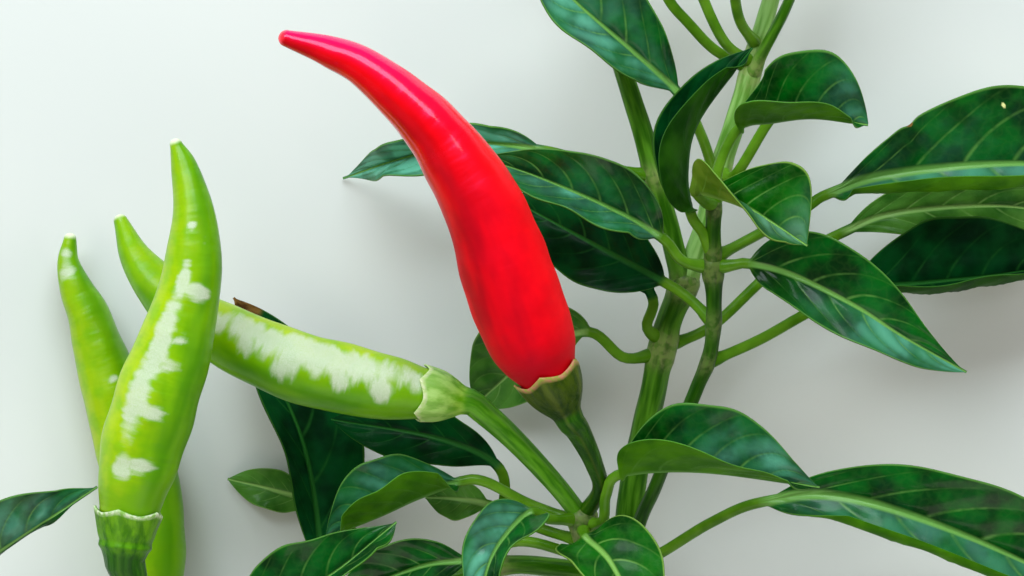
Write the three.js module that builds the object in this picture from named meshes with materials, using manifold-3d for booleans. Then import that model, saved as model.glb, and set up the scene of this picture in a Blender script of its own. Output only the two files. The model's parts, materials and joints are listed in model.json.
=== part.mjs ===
// A cut branch of a bird's-eye chilli pepper plant, lying on a level surface.
// Millimetres, +Z up. X runs to the right and Y away from the cut end of the main stem.
// The branch bears one ripe and three green fruits, each on a stalk with a toothed calyx.
import * as THREE from "three";
import * as BufferGeometryUtils from "three/addons/utils/BufferGeometryUtils.js";
import Module from "manifold-3d";

const wasm = await Module();
wasm.setup();

// Clear space between pieces that meet.
const GAP = 0.3;

// Stems have this many sides and this many steps between two points of their centre line.
const STEM_SIDES = 8;
const STEM_STEPS = 2;

// Fruits, and the angles of the rings on a rounded end.
const FRUIT_SIDES = 12;
const FRUIT_STEPS = 1;
const FRUIT_BASE_DEPTH = 2.6;
const END_ANGLES = [30, 60];

// Calyxes: five teeth on a rim of ten sides, and a bowl that the base of the fruit sits in.
const CALYX_SIDES = 10;
const CALYX_WALL = 0.4;
const TOOTH_REACH = 1.1;
const TOOTH_ROOT = 0.5;

// The neck between a fruit stalk and its calyx, and the outline of the calyx above it: the share
// of the cup's depth below the rim, and the share of the way from the neck's radius to the rim's.
const NECK_LENGTH = 1.5;
const NECK_SWELL = 1.3;
const CALYX_OUTLINE = [[1, 0], [0.8, 0.35], [0.45, 0.75]];

// Leaves. The blade thins from the rib to its margin. The stalk runs on under the blade as the
// rib, which tapers to the tip and stands out of the blade by a share of its radius.
const BLADE_THICKNESS = 0.5;
const MARGIN_THINNING = 0.4;
const STALK_RADIUS = 0.75;
const STALK_ROUNDNESS = 0.95;
const RIB_TAPER = 0.75;
const RIB_DEPTH = 0.7;
const TIP_HALF = 0.25;

// A half blade widens from the stalk by no more than this for each millimetre.
const BASE_SPREAD = 2.0;

// Rings on a leaf's stalk and blade, and cells across a half blade, more where it folds wide.
const STALK_STATIONS = 3;
const BLADE_STATIONS = 9;
const PLAIN_CELLS = 2;
const FOLDED_CELLS = 3;
const WIDE_FOLD = 60;
const ACROSS_STEPS = 12;
const LENGTH_STEPS = 40;

// What a half blade has where its own entry says nothing.
const LEAF_SIDE = { half: 6, from: 10, to: 25, curl: 1, base: 1.1, end: 1.0, growth: 3 };

const COLOURS = {
  stem: 0x6e9646,
  shoot: 0x8fb060,
  leaf: 0x14562c,
  youngLeaf: 0x3f7a1e,
  darkLeaf: 0x0a3d24,
  paleLeaf: 0x5f8f56,
  ripe: 0xe01008,
  green: 0x86b41a,
  calyx: 0x5c8e1f,
};

// Stems, from where each starts to its tip. A point is x, y, z and radius.
const STEMS = {
  main_stem: {
    colour: "stem",
    line: [
      [15.0, -57.0, 2.2, 2.0],
      [15.0, -53.5, 2.2, 2.0],
      [15.8, -43.7, 4.5, 1.95],
      [16.8, -29.7, 8.0, 1.9],
      [19.3, -17.1, 10.0, 1.85],
      [21.8, -5.9, 12.0, 1.8],
      [24.4, 0.8, 13.0, 1.9],
    ],
  },
  right_stem: {
    colour: "stem",
    line: [
      [24.4, 0.4, 13.0, 1.6],
      [27.2, 8.8, 12.5, 1.5],
      [29.4, 17.2, 12.5, 1.5],
      [32.6, 27.0, 12.5, 1.45],
      [35.4, 36.8, 12.5, 1.3],
      [38.2, 47.3, 12.0, 1.0],
    ],
  },
  left_stem: {
    colour: "stem",
    line: [
      [24.2, 0.2, 13.0, 1.6],
      [22.4, 7.4, 14.0, 1.5],
      [20.0, 15.8, 15.0, 1.5],
      [17.9, 23.5, 15.5, 1.4],
      [15.7, 30.5, 16.0, 1.3],
      [13.2, 39.6, 16.0, 1.2],
      [10.9, 48.7, 15.0, 0.9],
    ],
  },
  front_stem: {
    colour: "shoot",
    line: [
      [15.8, -40.2, 6.0, 1.1],
      [17.9, -33.2, 11.0, 1.0],
      [20.0, -28.3, 15.5, 0.95],
      [22.8, -21.3, 19.5, 0.95],
      [25.9, -14.3, 22.0, 1.0],
      [27.9, -8.7, 24.0, 1.0],
      [28.3, -1.7, 26.0, 1.1],
      [28.1, 3.2, 27.0, 1.5],
    ],
  },
  young_shoot: {
    colour: "shoot",
    line: [
      [28.1, 3.4, 27.0, 1.1],
      [28.2, 7.4, 29.0, 1.1],
      [28.3, 11.6, 30.0, 1.0],
    ],
  },
  side_shoot: {
    colour: "stem",
    line: [
      [33.6, 29.4, 13.5, 0.8],
      [36.6, 35.6, 16.0, 0.8],
      [38.9, 40.3, 17.5, 0.75],
      [42.0, 48.7, 18.0, 0.6],
    ],
  },
  fruiting_twig: {
    colour: "stem",
    line: [
      [15.4, -47.2, 5.0, 1.2],
      [13.0, -43.7, 12.0, 1.1],
      [10.9, -38.1, 18.0, 1.2],
      [9.8, -32.2, 22.0, 2.0],
    ],
  },
  lower_left_branch: {
    colour: "stem",
    line: [
      [16.2, -40.9, 5.0, 1.4],
      [10.6, -40.0, 9.0, 1.4],
      [-2.0, -39.2, 11.0, 1.3],
      [-15.7, -43.7, 12.0, 1.25],
      [-29.7, -52.0, 13.0, 1.2],
      [-47.2, -58.8, 14.0, 1.4],
      [-57.7, -59.8, 14.0, 1.1],
      [-73.1, -56.3, 14.0, 1.0],
      [-82.9, -50.7, 14.0, 0.9],
    ],
  },
};

// Fruits, from the calyx to the tip, and their stalks, from the stem to the calyx.
const FRUITS = {
  ripe_fruit: {
    colour: "ripe",
    body: [
      [5.0, -11.9, 37.4, 4.2],
      [3.7, -9.2, 37.8, 5.6],
      [2.1, -5.6, 38.6, 6.4],
      [-0.4, 1.1, 40.2, 6.5],
      [-3.4, 10.0, 42.0, 5.8],
      [-7.5, 17.3, 42.5, 5.0],
      [-12.6, 23.9, 42.5, 4.0],
      [-20.2, 30.4, 42.5, 2.9],
      [-25.6, 33.0, 42.2, 2.2],
      [-31.4, 34.8, 42.0, 1.2],
    ],
    tipDepth: 1.2,
    cup: 6.0,
    stalk: [
      [10.7, -31.6, 22.6, 1.2],
      [12.3, -28.3, 26.0, 1.1],
      [11.4, -24.4, 30.5, 1.3],
      [9.4, -20.2, 34.4, 1.7],
    ],
  },
  front_green_fruit: {
    colour: "green",
    body: [
      [-53.5, -31.1, 37.2, 4.2],
      [-52.5, -25.5, 37.5, 5.4],
      [-51.0, -19.9, 38.0, 5.9],
      [-49.3, -14.3, 38.5, 5.9],
      [-46.9, -7.3, 39.0, 5.2],
      [-45.1, -0.3, 39.0, 4.4],
      [-44.4, 5.3, 39.0, 3.8],
      [-44.6, 11.6, 38.5, 2.8],
      [-45.9, 17.2, 38.0, 1.8],
      [-46.9, 20.0, 38.0, 0.9],
    ],
    tipDepth: 0.9,
    cup: 6.0,
    stalk: [
      [-47.2, -58.8, 15.0, 1.3],
      [-49.5, -54.5, 21.5, 1.4],
      [-51.6, -48.8, 29.5, 1.7],
      [-53.0, -42.0, 34.8, 2.3],
    ],
  },
  left_green_fruit: {
    colour: "green",
    body: [
      [-51.1, -45.1, 6.2, 3.9],
      [-51.2, -38.1, 5.8, 5.1],
      [-51.8, -29.7, 5.4, 5.2],
      [-54.6, -19.9, 5.0, 4.9],
      [-57.2, -12.2, 4.8, 4.1],
      [-59.6, -4.5, 4.6, 3.1],
      [-61.5, -0.3, 4.6, 2.4],
      [-62.6, 3.6, 4.6, 1.6],
      [-62.4, 6.9, 4.8, 0.9],
    ],
    tipDepth: 0.9,
    cup: 5.0,
    stalk: [
      [-47.2, -58.8, 13.0, 1.3],
      [-49.6, -55.0, 10.5, 1.4],
    ],
  },
  lying_green_fruit: {
    colour: "green",
    body: [
      [-12.5, -14.8, 26.8, 3.6],
      [-17.1, -14.0, 26.5, 4.5],
      [-22.7, -12.9, 26.0, 4.9],
      [-28.3, -11.6, 26.0, 5.0],
      [-34.6, -9.4, 25.0, 4.8],
      [-40.2, -6.6, 24.0, 4.4],
      [-45.1, -4.2, 22.5, 4.0],
      [-49.3, -0.3, 21.0, 3.4],
      [-52.8, 4.2, 19.5, 2.3],
      [-55.0, 9.4, 18.0, 1.0],
    ],
    tipDepth: 1.0,
    cup: 5.5,
    stalk: [
      [8.8, -31.4, 22.0, 1.3],
      [6.0, -27.4, 24.0, 1.4],
      [0.0, -21.0, 25.5, 1.6],
    ],
  },
};

// Leaves. The line runs up the stalk and on along the rib to the tip, and the blade starts at
// point number `blade`. Left and right are seen along the line with the upper side on top.
// A half blade is `half` wide and its slope turns from `from` degrees at the rib to `to` degrees
// at the margin, later with a larger `curl`. Past 90 degrees it shows its underside. It lies flat
// where it is no wider than the rib, and has its full slope where it is wider by `growth`. `base`
// and `end` say how slowly it widens from the stalk and narrows to the tip.
const LEAVES = {
  leaf_crown_right: {
    colour: "leaf",
    line: [[28.6, 12.0, 30.0], [29.0, 17.2, 31.0], [31.9, 22.5, 32.0],
      [36.5, 23.4, 33.0], [42.4, 23.9, 34.0], [49.8, 22.8, 34.0]],
    blade: 2,
    left: { half: 10.0, from: 10, to: 20, base: 0.9, end: 0.8 },
    right: { half: 9.0, from: 100, to: 120, base: 0.5, end: 0.9 },
  },
  leaf_crown_front: {
    colour: "youngLeaf",
    line: [[28.3, 11.6, 30.5], [26.6, 12.4, 32.6], [26.0, 13.6, 35.4],
      [31.2, 12.0, 37.5], [36.1, 9.2, 39.0], [41.2, 5.9, 40.0]],
    blade: 2,
    left: { half: 9.0, from: 5, to: 15, base: 1.5, end: 1.0 },
    right: { half: 8.5, from: 110, to: 140, base: 0.5, end: 1.2 },
  },
  leaf_crown_left: {
    colour: "leaf",
    line: [[28.6, 4.6, 27.5], [26.7, 7.7, 29.5], [25.0, 10.5, 31.0],
      [24.3, 16.5, 32.5], [26.0, 23.5, 33.5], [33.6, 33.6, 31.5]],
    blade: 2,
    left: { half: 5.5, from: 15, to: 35, base: 0.8 },
    right: { half: 7.0, from: 105, to: 140, base: 0.6, end: 1.4 },
  },
  leaf_crown_back: {
    colour: "darkLeaf",
    line: [[29.2, 16.5, 13.0], [31.4, 15.9, 16.5], [36.3, 23.7, 20.0],
      [40.0, 27.0, 22.0], [45.6, 29.5, 23.0]],
    blade: 2,
    left: { half: 3.0 },
    right: { half: 3.0 },
  },
  leaf_top_broad: {
    colour: "leaf",
    line: [[28.8, 15.1, 13.0], [26.6, 21.5, 17.0], [23.4, 27.3, 21.0], [17.6, 32.6, 23.5],
      [8.7, 40.3, 25.5], [1.1, 48.0, 25.0]],
    blade: 2,
    left: { half: 5.6, from: 30, to: 55 },
    right: { half: 7.5, from: 10, to: 15 },
  },
  leaf_top_pale: {
    colour: "paleLeaf",
    line: [[33.4, 31.0, 12.2], [28.7, 33.4, 13.8], [24.9, 37.2, 15.0], [21.8, 41.0, 16.0],
      [20.0, 47.0, 17.0], [18.5, 57.0, 16.0]],
    blade: 3,
    left: { half: 5.0 },
    right: { half: 5.0 },
  },
  leaf_top_middle: {
    colour: "leaf",
    line: [[33.3, 31.9, 13.6], [30.0, 34.4, 17.5], [27.0, 40.3, 20.5], [26.0, 44.0, 22.0],
      [25.5, 50.0, 23.5], [27.0, 58.0, 23.0]],
    blade: 3,
    left: { half: 4.0 },
    right: { half: 4.0 },
  },
  leaf_top_right: {
    colour: "leaf",
    line: [[34.3, 34.2, 13.2], [32.2, 37.2, 17.5], [31.3, 41.0, 21.0], [31.6, 43.8, 23.0],
      [33.5, 49.0, 25.0], [38.0, 57.0, 25.0]],
    blade: 3,
    left: { half: 3.5 },
    right: { half: 4.5 },
  },
  leaf_left_front: {
    colour: "leaf",
    line: [[27.8, 3.0, 26.6], [23.9, 3.8, 28.0], [20.8, 7.2, 29.0], [12.9, 11.5, 30.0],
      [3.1, 15.7, 30.5], [-4.8, 18.3, 29.5]],
    blade: 2,
    left: { half: 6.0, from: 50, to: 70, base: 0.9 },
    right: { half: 6.5, from: 10, to: 25, base: 0.6, end: 1.1 },
  },
  leaf_left_back: {
    colour: "darkLeaf",
    line: [[19.8, 15.6, 15.0], [12.3, 17.2, 17.0], [4.6, 19.3, 18.5], [-5.9, 20.4, 17.0],
      [-15.7, 18.2, 10.0], [-23.9, 15.5, 0.6]],
    blade: 2,
    left: { half: 5.0, from: 45, to: 65 },
    right: { half: 5.0, from: 45, to: 65 },
  },
  leaf_left_dark: {
    colour: "darkLeaf",
    line: [[28.0, -5.0, 25.0], [25.1, -1.7, 23.5], [21.4, 0.8, 22.5], [12.3, 5.7, 21.0],
      [-1.0, 13.0, 19.0]],
    blade: 2,
    left: { half: 6.0, from: 5, to: 15, base: 0.8 },
    right: { half: 6.0, from: 5, to: 15, base: 0.8 },
  },
  leaf_left_pale: {
    colour: "paleLeaf",
    line: [[20.6, -9.2, 12.0], [15.8, -9.8, 13.0], [10.9, -6.2, 13.0], [3.9, -8.7, 10.0],
      [-5.5, -16.8, 1.0]],
    blade: 2,
    left: { half: 5.0 },
    right: { half: 8.5, base: 0.6 },
  },
  leaf_left_small: {
    colour: "darkLeaf",
    line: [[21.0, -7.5, 12.5], [19.0, -5.5, 14.5], [19.8, -1.5, 16.5], [16.0, 3.5, 17.5],
      [8.5, 8.0, 16.0]],
    blade: 2,
    left: { half: 3.0 },
    right: { half: 3.0 },
  },
  leaf_withered_tip: {
    colour: "darkLeaf",
    line: [[-26.6, -50.2, 12.8], [-27.0, -45.5, 10.5], [-27.2, -42.3, 8.5],
      [-27.2, -35.3, 6.5], [-29.7, -21.3, 5.5], [-36.0, -7.3, 7.0], [-39.2, -1.4, 9.0]],
    blade: 2,
    left: { half: 4.2, from: 30, to: 50 },
    right: { half: 8.5, from: 3, to: 8 },
  },
  leaf_low_back: {
    colour: "darkLeaf",
    line: [[-2.0, -39.2, 11.0], [-1.5, -33.0, 12.0], [-1.7, -25.5, 13.0], [-10.0, -21.3, 13.0],
      [-25.5, -18.5, 10.5]],
    blade: 2,
    left: { half: 4.5 },
    right: { half: 4.5 },
  },
  leaf_low_folded: {
    colour: "youngLeaf",
    line: [[8.9, -32.8, 20.6], [2.4, -30.3, 20.4], [-3.8, -27.2, 20.5], [-7.3, -27.2, 20.5],
      [-13.2, -29.3, 21.0], [-18.5, -31.8, 21.5], [-26.2, -35.0, 21.0]],
    blade: 3,
    left: { half: 6.5, from: 110, to: 140, base: 0.8 },
    right: { half: 8.0, from: 5, to: 20 },
  },
  leaf_low_pale: {
    colour: "paleLeaf",
    line: [[-15.7, -43.2, 11.0], [-20.0, -37.0, 3.6], [-27.0, -31.0, 2.0], [-34.0, -28.5, 1.6],
      [-40.2, -27.0, 0.8]],
    blade: 2,
    left: { half: 3.0 },
    right: { half: 3.0 },
  },
  leaf_low_small: {
    colour: "paleLeaf",
    line: [[10.4, -35.5, 19.5], [4.0, -33.8, 17.0], [-3.1, -30.6, 15.5], [-8.0, -29.7, 15.0],
      [-12.2, -29.5, 14.0]],
    blade: 2,
    left: { half: 3.0 },
    right: { half: 3.0 },
  },
  leaf_low_flat: {
    colour: "leaf",
    line: [[10.9, -38.1, 18.0], [1.3, -35.6, 18.0], [-5.9, -38.1, 18.0], [-12.9, -39.2, 18.5],
      [-24.8, -43.7, 17.0]],
    blade: 2,
    left: { half: 5.0, from: 30, to: 60 },
    right: { half: 5.0, from: 15, to: 30 },
  },
  leaf_foot_right: {
    colour: "leaf",
    line: [[9.8, -34.0, 22.2], [10.4, -35.0, 26.0], [13.6, -38.2, 30.0], [16.8, -44.7, 31.5],
      [19.4, -53.5, 28.0]],
    blade: 1,
    left: { half: 7.2, from: 0, to: 15, base: 0.5, end: 1.3 },
    right: { half: 5.6, from: 25, to: 50, base: 0.25, end: 1.2 },
  },
  leaf_foot_left: {
    colour: "leaf",
    line: [[8.4, -33.2, 22.6], [5.3, -32.4, 25.8], [2.6, -31.4, 27.8], [-1.4, -35.4, 31.0],
      [-3.6, -40.0, 33.0], [-5.4, -48.6, 31.0]],
    blade: 2,
    left: { half: 5.5, from: 50, to: 70, base: 0.3, end: 1.3 },
    right: { half: 5.2, from: 0, to: 25, base: 0.5, end: 1.4 },
  },
  leaf_foot_outer: {
    colour: "leaf",
    line: [[-38.5, -55.6, 13.5], [-41.0, -52.0, 19.0], [-40.0, -48.5, 23.0], [-33.0, -44.5, 26.0],
      [-25.0, -40.0, 27.5], [-16.2, -32.8, 27.0]],
    blade: 2,
    left: { half: 7.0, from: 5, to: 20, end: 1.3 },
    right: { half: 6.0, from: 65, to: 85 },
  },
  leaf_right_broad: {
    colour: "leaf",
    line: [[29.0, 4.7, 26.2], [35.4, 8.0, 24.5], [41.3, 11.3, 22.0], [44.4, 13.2, 21.5],
      [53.5, 16.0, 21.5], [71.7, 17.5, 19.0], [89.3, 15.4, 14.0]],
    blade: 3,
    left: { half: 11.2, from: 5, to: 15, base: 1.5, end: 1.2 },
    right: { half: 10.0, from: 5, to: 150, base: 0.9, end: 1.2 },
  },
  leaf_right_low: {
    colour: "paleLeaf",
    line: [[21.3, -8.6, 11.4], [28.4, -5.2, 10.0], [37.0, 2.5, 8.5], [46.6, 7.8, 8.0],
      [54.3, 10.6, 8.0], [68.3, 11.6, 4.5], [79.5, 10.2, 0.6]],
    blade: 3,
    left: { half: 5.0 },
    right: { half: 5.0 },
  },
  leaf_right_dark: {
    colour: "darkLeaf",
    line: [[27.4, -10.5, 23.4], [34.7, -7.3, 20.0], [41.0, -3.8, 16.5], [47.5, -0.4, 14.5],
      [58.5, 0.7, 13.5], [68.3, 1.8, 12.0], [79.5, 3.6, 9.0]],
    blade: 3,
    left: { half: 9.2, from: 0, to: 10, base: 0.9 },
    right: { half: 8.0, from: 45, to: 130, base: 0.9 },
  },
  leaf_right_front: {
    colour: "leaf",
    line: [[28.8, 2.8, 27.4], [30.9, 3.2, 28.1], [33.2, 3.4, 28.4], [39.2, 1.8, 29.5],
      [48.0, -2.5, 30.0], [54.9, -6.9, 29.0], [63.7, -11.8, 27.0]],
    blade: 2,
    left: { half: 7.6, from: 5, to: 15, base: 0.6, end: 1.3 },
    right: { half: 5.2, from: 15, to: 40, base: 0.6, end: 0.9 },
  },
  leaf_right_foot: {
    colour: "leaf",
    line: [[16.3, -39.0, 5.8], [20.3, -37.7, 10.0], [28.0, -33.0, 15.5], [35.0, -30.1, 19.0],
      [46.1, -29.3, 21.0], [63.3, -34.6, 20.0], [86.5, -45.4, 14.0]],
    blade: 3,
    left: { half: 8.5, from: 10, to: 20, base: 1.3 },
    right: { half: 8.5, from: 10, to: 170, curl: 2, base: 0.9, growth: 6 },
  },
  leaf_middle: {
    colour: "leaf",
    line: [[11.2, -33.8, 22.8], [12.7, -32.7, 25.4], [13.2, -29.0, 27.8], [15.4, -26.0, 30.0],
      [26.3, -25.5, 31.5], [43.1, -27.9, 29.5]],
    blade: 3,
    left: { half: 9.6, from: 5, to: 20, base: 0.7, end: 1.2 },
    right: { half: 8.0, from: 110, to: 140, base: 0.5, end: 1.4 },
  },
  leaf_outer_left: {
    colour: "leaf",
    line: [[-80.5, -51.9, 14.0], [-83.0, -47.0, 18.0], [-81.5, -41.6, 21.0], [-70.0, -33.5, 23.5],
      [-58.0, -27.6, 22.5]],
    blade: 2,
    left: { half: 4.8, from: 20, to: 40 },
    right: { half: 6.5, from: 30, to: 120 },
  },
  leaf_outer_end: {
    colour: "youngLeaf",
    line: [[-82.5, -50.9, 14.0], [-86.0, -52.2, 11.5], [-90.0, -54.5, 6.0], [-93.0, -57.0, 0.8]],
    blade: 1,
    left: { half: 3.0 },
    right: { half: 3.0 },
  },
  leaf_end_right: {
    colour: "youngLeaf",
    line: [[38.0, 46.8, 12.0], [37.4, 50.0, 10.5], [35.5, 56.5, 6.5], [33.0, 62.0, 0.8]],
    blade: 1,
    left: { half: 3.5 },
    right: { half: 3.5 },
  },
  leaf_end_left: {
    colour: "youngLeaf",
    line: [[11.0, 48.2, 15.0], [9.5, 51.5, 12.5], [5.0, 57.0, 7.0], [0.5, 61.0, 0.8]],
    blade: 1,
    left: { half: 3.5 },
    right: { half: 3.5 },
  },
  leaf_end_side: {
    colour: "youngLeaf",
    line: [[41.8, 48.2, 18.0], [44.0, 51.5, 19.5], [48.0, 56.0, 20.5], [54.0, 60.0, 19.0]],
    blade: 1,
    left: { half: 3.5 },
    right: { half: 3.5 },
  },
};

const radians = (degrees) => THREE.MathUtils.degToRad(degrees);
const vector = ([x, y, z]) => new THREE.Vector3(x, y, z);

function curveThrough(points) {
  return new THREE.CatmullRomCurve3(points, false, "catmullrom", 0.5);
}

// A closed surface through rings of equally many points, each end closed by a fan. From the side
// `turned` on, its quads are split along the other diagonal.
function loft(rings, turned = Infinity) {
  const sides = rings[0].length;
  const vertices = rings.flat();
  const faces = [];
  const at = (ring, side) => ring * sides + (side % sides);
  const middles = [rings[0], rings.at(-1)].map((ring) => {
    const middle = ring.reduce((sum, point) => sum.add(point), new THREE.Vector3());
    vertices.push(middle.divideScalar(sides));
    return vertices.length - 1;
  });
  for (let side = 0; side < sides; side += 1) {
    for (let ring = 0; ring < rings.length - 1; ring += 1) {
      const [near, far] = side < turned
        ? [at(ring, side), at(ring + 1, side + 1)]
        : [at(ring, side + 1), at(ring + 1, side)];
      faces.push([at(ring, side), at(ring, side + 1), far]);
      faces.push([near, at(ring + 1, side + 1), at(ring + 1, side)]);
    }
    faces.push([middles[0], at(0, side + 1), at(0, side)]);
    faces.push([middles[1], at(rings.length - 1, side), at(rings.length - 1, side + 1)]);
  }
  const geometry = new THREE.BufferGeometry().setFromPoints(vertices);
  geometry.setIndex(faces.flat());
  return geometry;
}

// Rings round a line of stations. A station has a centre, a tangent and a radius, and every
// second point of a toothed ring reaches forward by its tooth and out by its flare.
function ringsRound(stations, sides) {
  const across = new THREE.Vector3(0, 0, 1);
  return stations.map(({ centre, tangent, radius, tooth = 0, flare = 0 }) => {
    across.addScaledVector(tangent, -across.dot(tangent)).normalize();
    const up = new THREE.Vector3().crossVectors(tangent, across);
    return Array.from({ length: sides }, (_, side) => {
      const angle = (2 * Math.PI * side) / sides;
      const share = side % 2;
      const reach = radius + flare * share;
      return centre.clone()
        .addScaledVector(across, reach * Math.cos(angle))
        .addScaledVector(up, reach * Math.sin(angle))
        .addScaledVector(tangent, tooth * share);
    });
  });
}

// Stations along a line of points that hold x, y, z and radius.
function stationsAlong(line, steps, grow = 0) {
  const centres = curveThrough(line.map(vector));
  const radii = curveThrough(line.map((point) => new THREE.Vector3(point[3], 0, 0)));
  const count = steps * (line.length - 1);
  return Array.from({ length: count + 1 }, (_, index) => ({
    centre: centres.getPoint(index / count),
    tangent: centres.getTangent(index / count),
    radius: radii.getPoint(index / count).x + grow,
  }));
}

// Stations of a rounded end: they run on from the last one, or back from the first.
function roundedEnd({ centre, tangent, radius }, depth) {
  return END_ANGLES.map((degrees) => ({
    centre: centre.clone().addScaledVector(tangent, depth * Math.sin(radians(degrees))),
    tangent,
    radius: radius * Math.cos(radians(degrees)),
  }));
}

function stemGeometry({ line }, grow = 0) {
  const stations = stationsAlong(line, STEM_STEPS, grow);
  const end = stations.at(-1);
  return loft(ringsRound([...stations, ...roundedEnd(end, end.radius)], STEM_SIDES));
}

function fruitGeometry({ body, tipDepth }) {
  const stations = stationsAlong(body, FRUIT_STEPS);
  const base = roundedEnd(stations[0], -FRUIT_BASE_DEPTH).reverse();
  const tip = roundedEnd(stations.at(-1), tipDepth);
  return loft(ringsRound([...base, ...stations, ...tip], FRUIT_SIDES));
}

// A fruit stalk that widens into the calyx. The calyx's bowl keeps clear of the fruit's base.
function fruitStalkGeometry({ body, cup, stalk }) {
  const [first, second] = stationsAlong(body, FRUIT_STEPS);
  const { centre, tangent, radius } = first;
  const slope = (second.radius - radius) / second.centre.distanceTo(centre);
  const inner = radius + GAP;
  const outer = inner + CALYX_WALL;
  const onAxis = (offset, ringRadius) => ({
    centre: centre.clone().addScaledVector(tangent, offset),
    tangent,
    radius: ringRadius,
  });
  const teeth = { tooth: TOOTH_REACH, flare: slope * TOOTH_REACH };
  const stalkEnd = stalk.at(-1)[3];
  const neck = NECK_SWELL * stalkEnd;
  const foot = onAxis(-cup - NECK_LENGTH, (stalkEnd + neck) / 2);
  const stalkLine = [...stalk, [...foot.centre.toArray(), foot.radius]];
  const bowlDepth = FRUIT_BASE_DEPTH + GAP;
  const stations = [
    ...stationsAlong(stalkLine, STEM_STEPS).slice(0, -1),
    foot,
    ...CALYX_OUTLINE.map(([depth, share]) => onAxis(
      -depth * cup,
      THREE.MathUtils.lerp(neck, outer, share),
    )),
    { ...onAxis(-TOOTH_ROOT, outer), ...teeth },
    { ...onAxis(-TOOTH_ROOT, inner), ...teeth },
    ...END_ANGLES.map((degrees) => onAxis(
      -bowlDepth * Math.sin(radians(degrees)),
      inner * Math.cos(radians(degrees)),
    )),
  ];
  return loft(ringsRound(stations, CALYX_SIDES));
}

// Where a half blade is, `share` of the way from the rib to the margin: out from the rib, up
// from it, and the slope there.
function acrossBlade(half, { from, to, curl }, share) {
  const slopeAt = (place) => radians(from + (to - from) * place ** curl);
  const stride = (half * share) / ACROSS_STEPS;
  let out = 0;
  let up = 0;
  for (let step = 0; step < ACROSS_STEPS; step += 1) {
    const slope = slopeAt((share * (step + 0.5)) / ACROSS_STEPS);
    out += Math.cos(slope) * stride;
    up += Math.sin(slope) * stride;
  }
  return { out, up, slope: slopeAt(share) };
}

// Half the width of a blade at `along`, from 0 at the stalk to 1 at the tip.
function halfWidth({ half, base, end }, along) {
  const widest = base / (base + end);
  return half * (along / widest) ** base * ((1 - along) / (1 - widest)) ** end;
}

// The way that the upper side faces on a half blade of a slope, with sign 1 on the left.
function upperNormal(frame, slope, sign) {
  return new THREE.Vector3()
    .addScaledVector(frame.left, -Math.sin(slope) * sign)
    .addScaledVector(frame.up, Math.cos(slope));
}

// One ring round a leaf: over the top from the left margin to the right, and back underneath.
function leafRing(frame, sides, bladeLength, along, cells) {
  const onStalk = along <= 0;
  const stalk = STALK_RADIUS * (1 - RIB_TAPER * Math.max(along, 0));
  const narrowest = along < 1 ? stalk : TIP_HALF;
  const widest = stalk + BASE_SPREAD * bladeLength * along;
  const halfOf = (side) => (onStalk ? 0 : Math.min(halfWidth(side, Math.min(along, 1)), widest));
  const bendOf = (side) => {
    const fold = THREE.MathUtils.clamp((halfOf(side) - stalk) / side.growth, 0, 1);
    return { from: side.from * fold, to: side.to * fold, curl: side.curl };
  };
  const ribNormal = upperNormal(frame, radians(bendOf(sides.left).from), 1)
    .add(upperNormal(frame, radians(bendOf(sides.right).from), -1))
    .normalize();
  const top = [];
  const under = [];
  for (let cell = cells; cell >= -cells; cell -= 1) {
    const share = Math.abs(cell) / cells;
    const sign = Math.sign(cell);
    const side = cell > 0 ? sides.left : sides.right;
    const { out, up, slope } = acrossBlade(Math.max(halfOf(side), narrowest), bendOf(side), share);
    const middle = frame.centre.clone()
      .addScaledVector(frame.left, out * sign)
      .addScaledVector(frame.up, up);
    const normal = cell === 0 ? ribNormal : upperNormal(frame, slope, sign);
    const round = stalk * Math.sqrt(1 - (STALK_ROUNDNESS * share) ** 2);
    const flat = (BLADE_THICKNESS / 2) * (1 - MARGIN_THINNING * share);
    const rib = cell === 0 ? RIB_DEPTH * stalk : 0;
    const above = onStalk ? round : flat;
    const below = onStalk ? round : flat + rib;
    top.push(middle.clone().addScaledVector(normal, above));
    under.push(middle.clone().addScaledVector(normal, -below));
  }
  return [...top, ...under.reverse()];
}

function leafGeometry({ line, blade, left, right }) {
  const sides = { left: { ...LEAF_SIDE, ...left }, right: { ...LEAF_SIDE, ...right } };
  const curve = curveThrough(line.map(vector));
  const lengths = curve.getLengths(LENGTH_STEPS * (line.length - 1));
  const start = lengths[LENGTH_STEPS * blade] / lengths.at(-1);
  const bladeLength = (1 - start) * lengths.at(-1);
  const places = [];
  for (let step = 0; step < STALK_STATIONS; step += 1) {
    places.push((start * step) / STALK_STATIONS);
  }
  for (let step = 0; step <= BLADE_STATIONS; step += 1) {
    const along = (1 - Math.cos((Math.PI * step) / BLADE_STATIONS)) / 2;
    places.push(start + (1 - start) * along);
  }
  const turn = Math.max(...Object.values(sides).map(({ from, to }) => Math.abs(to - from)));
  const cells = turn > WIDE_FOLD ? FOLDED_CELLS : PLAIN_CELLS;
  const rings = places.map((place) => {
    const tangent = curve.getTangentAt(place);
    const leftward = new THREE.Vector3(0, 0, 1).cross(tangent).normalize();
    const up = new THREE.Vector3().crossVectors(tangent, leftward);
    const frame = { centre: curve.getPointAt(place), left: leftward, up };
    return leafRing(frame, sides, bladeLength, (place - start) / (1 - start), cells);
  });
  // The underside is split along the same lines as the upper side, or a twisted blade cuts itself.
  const firstUnderside = 2 * cells + 1;
  return loft(rings, firstUnderside);
}

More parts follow.
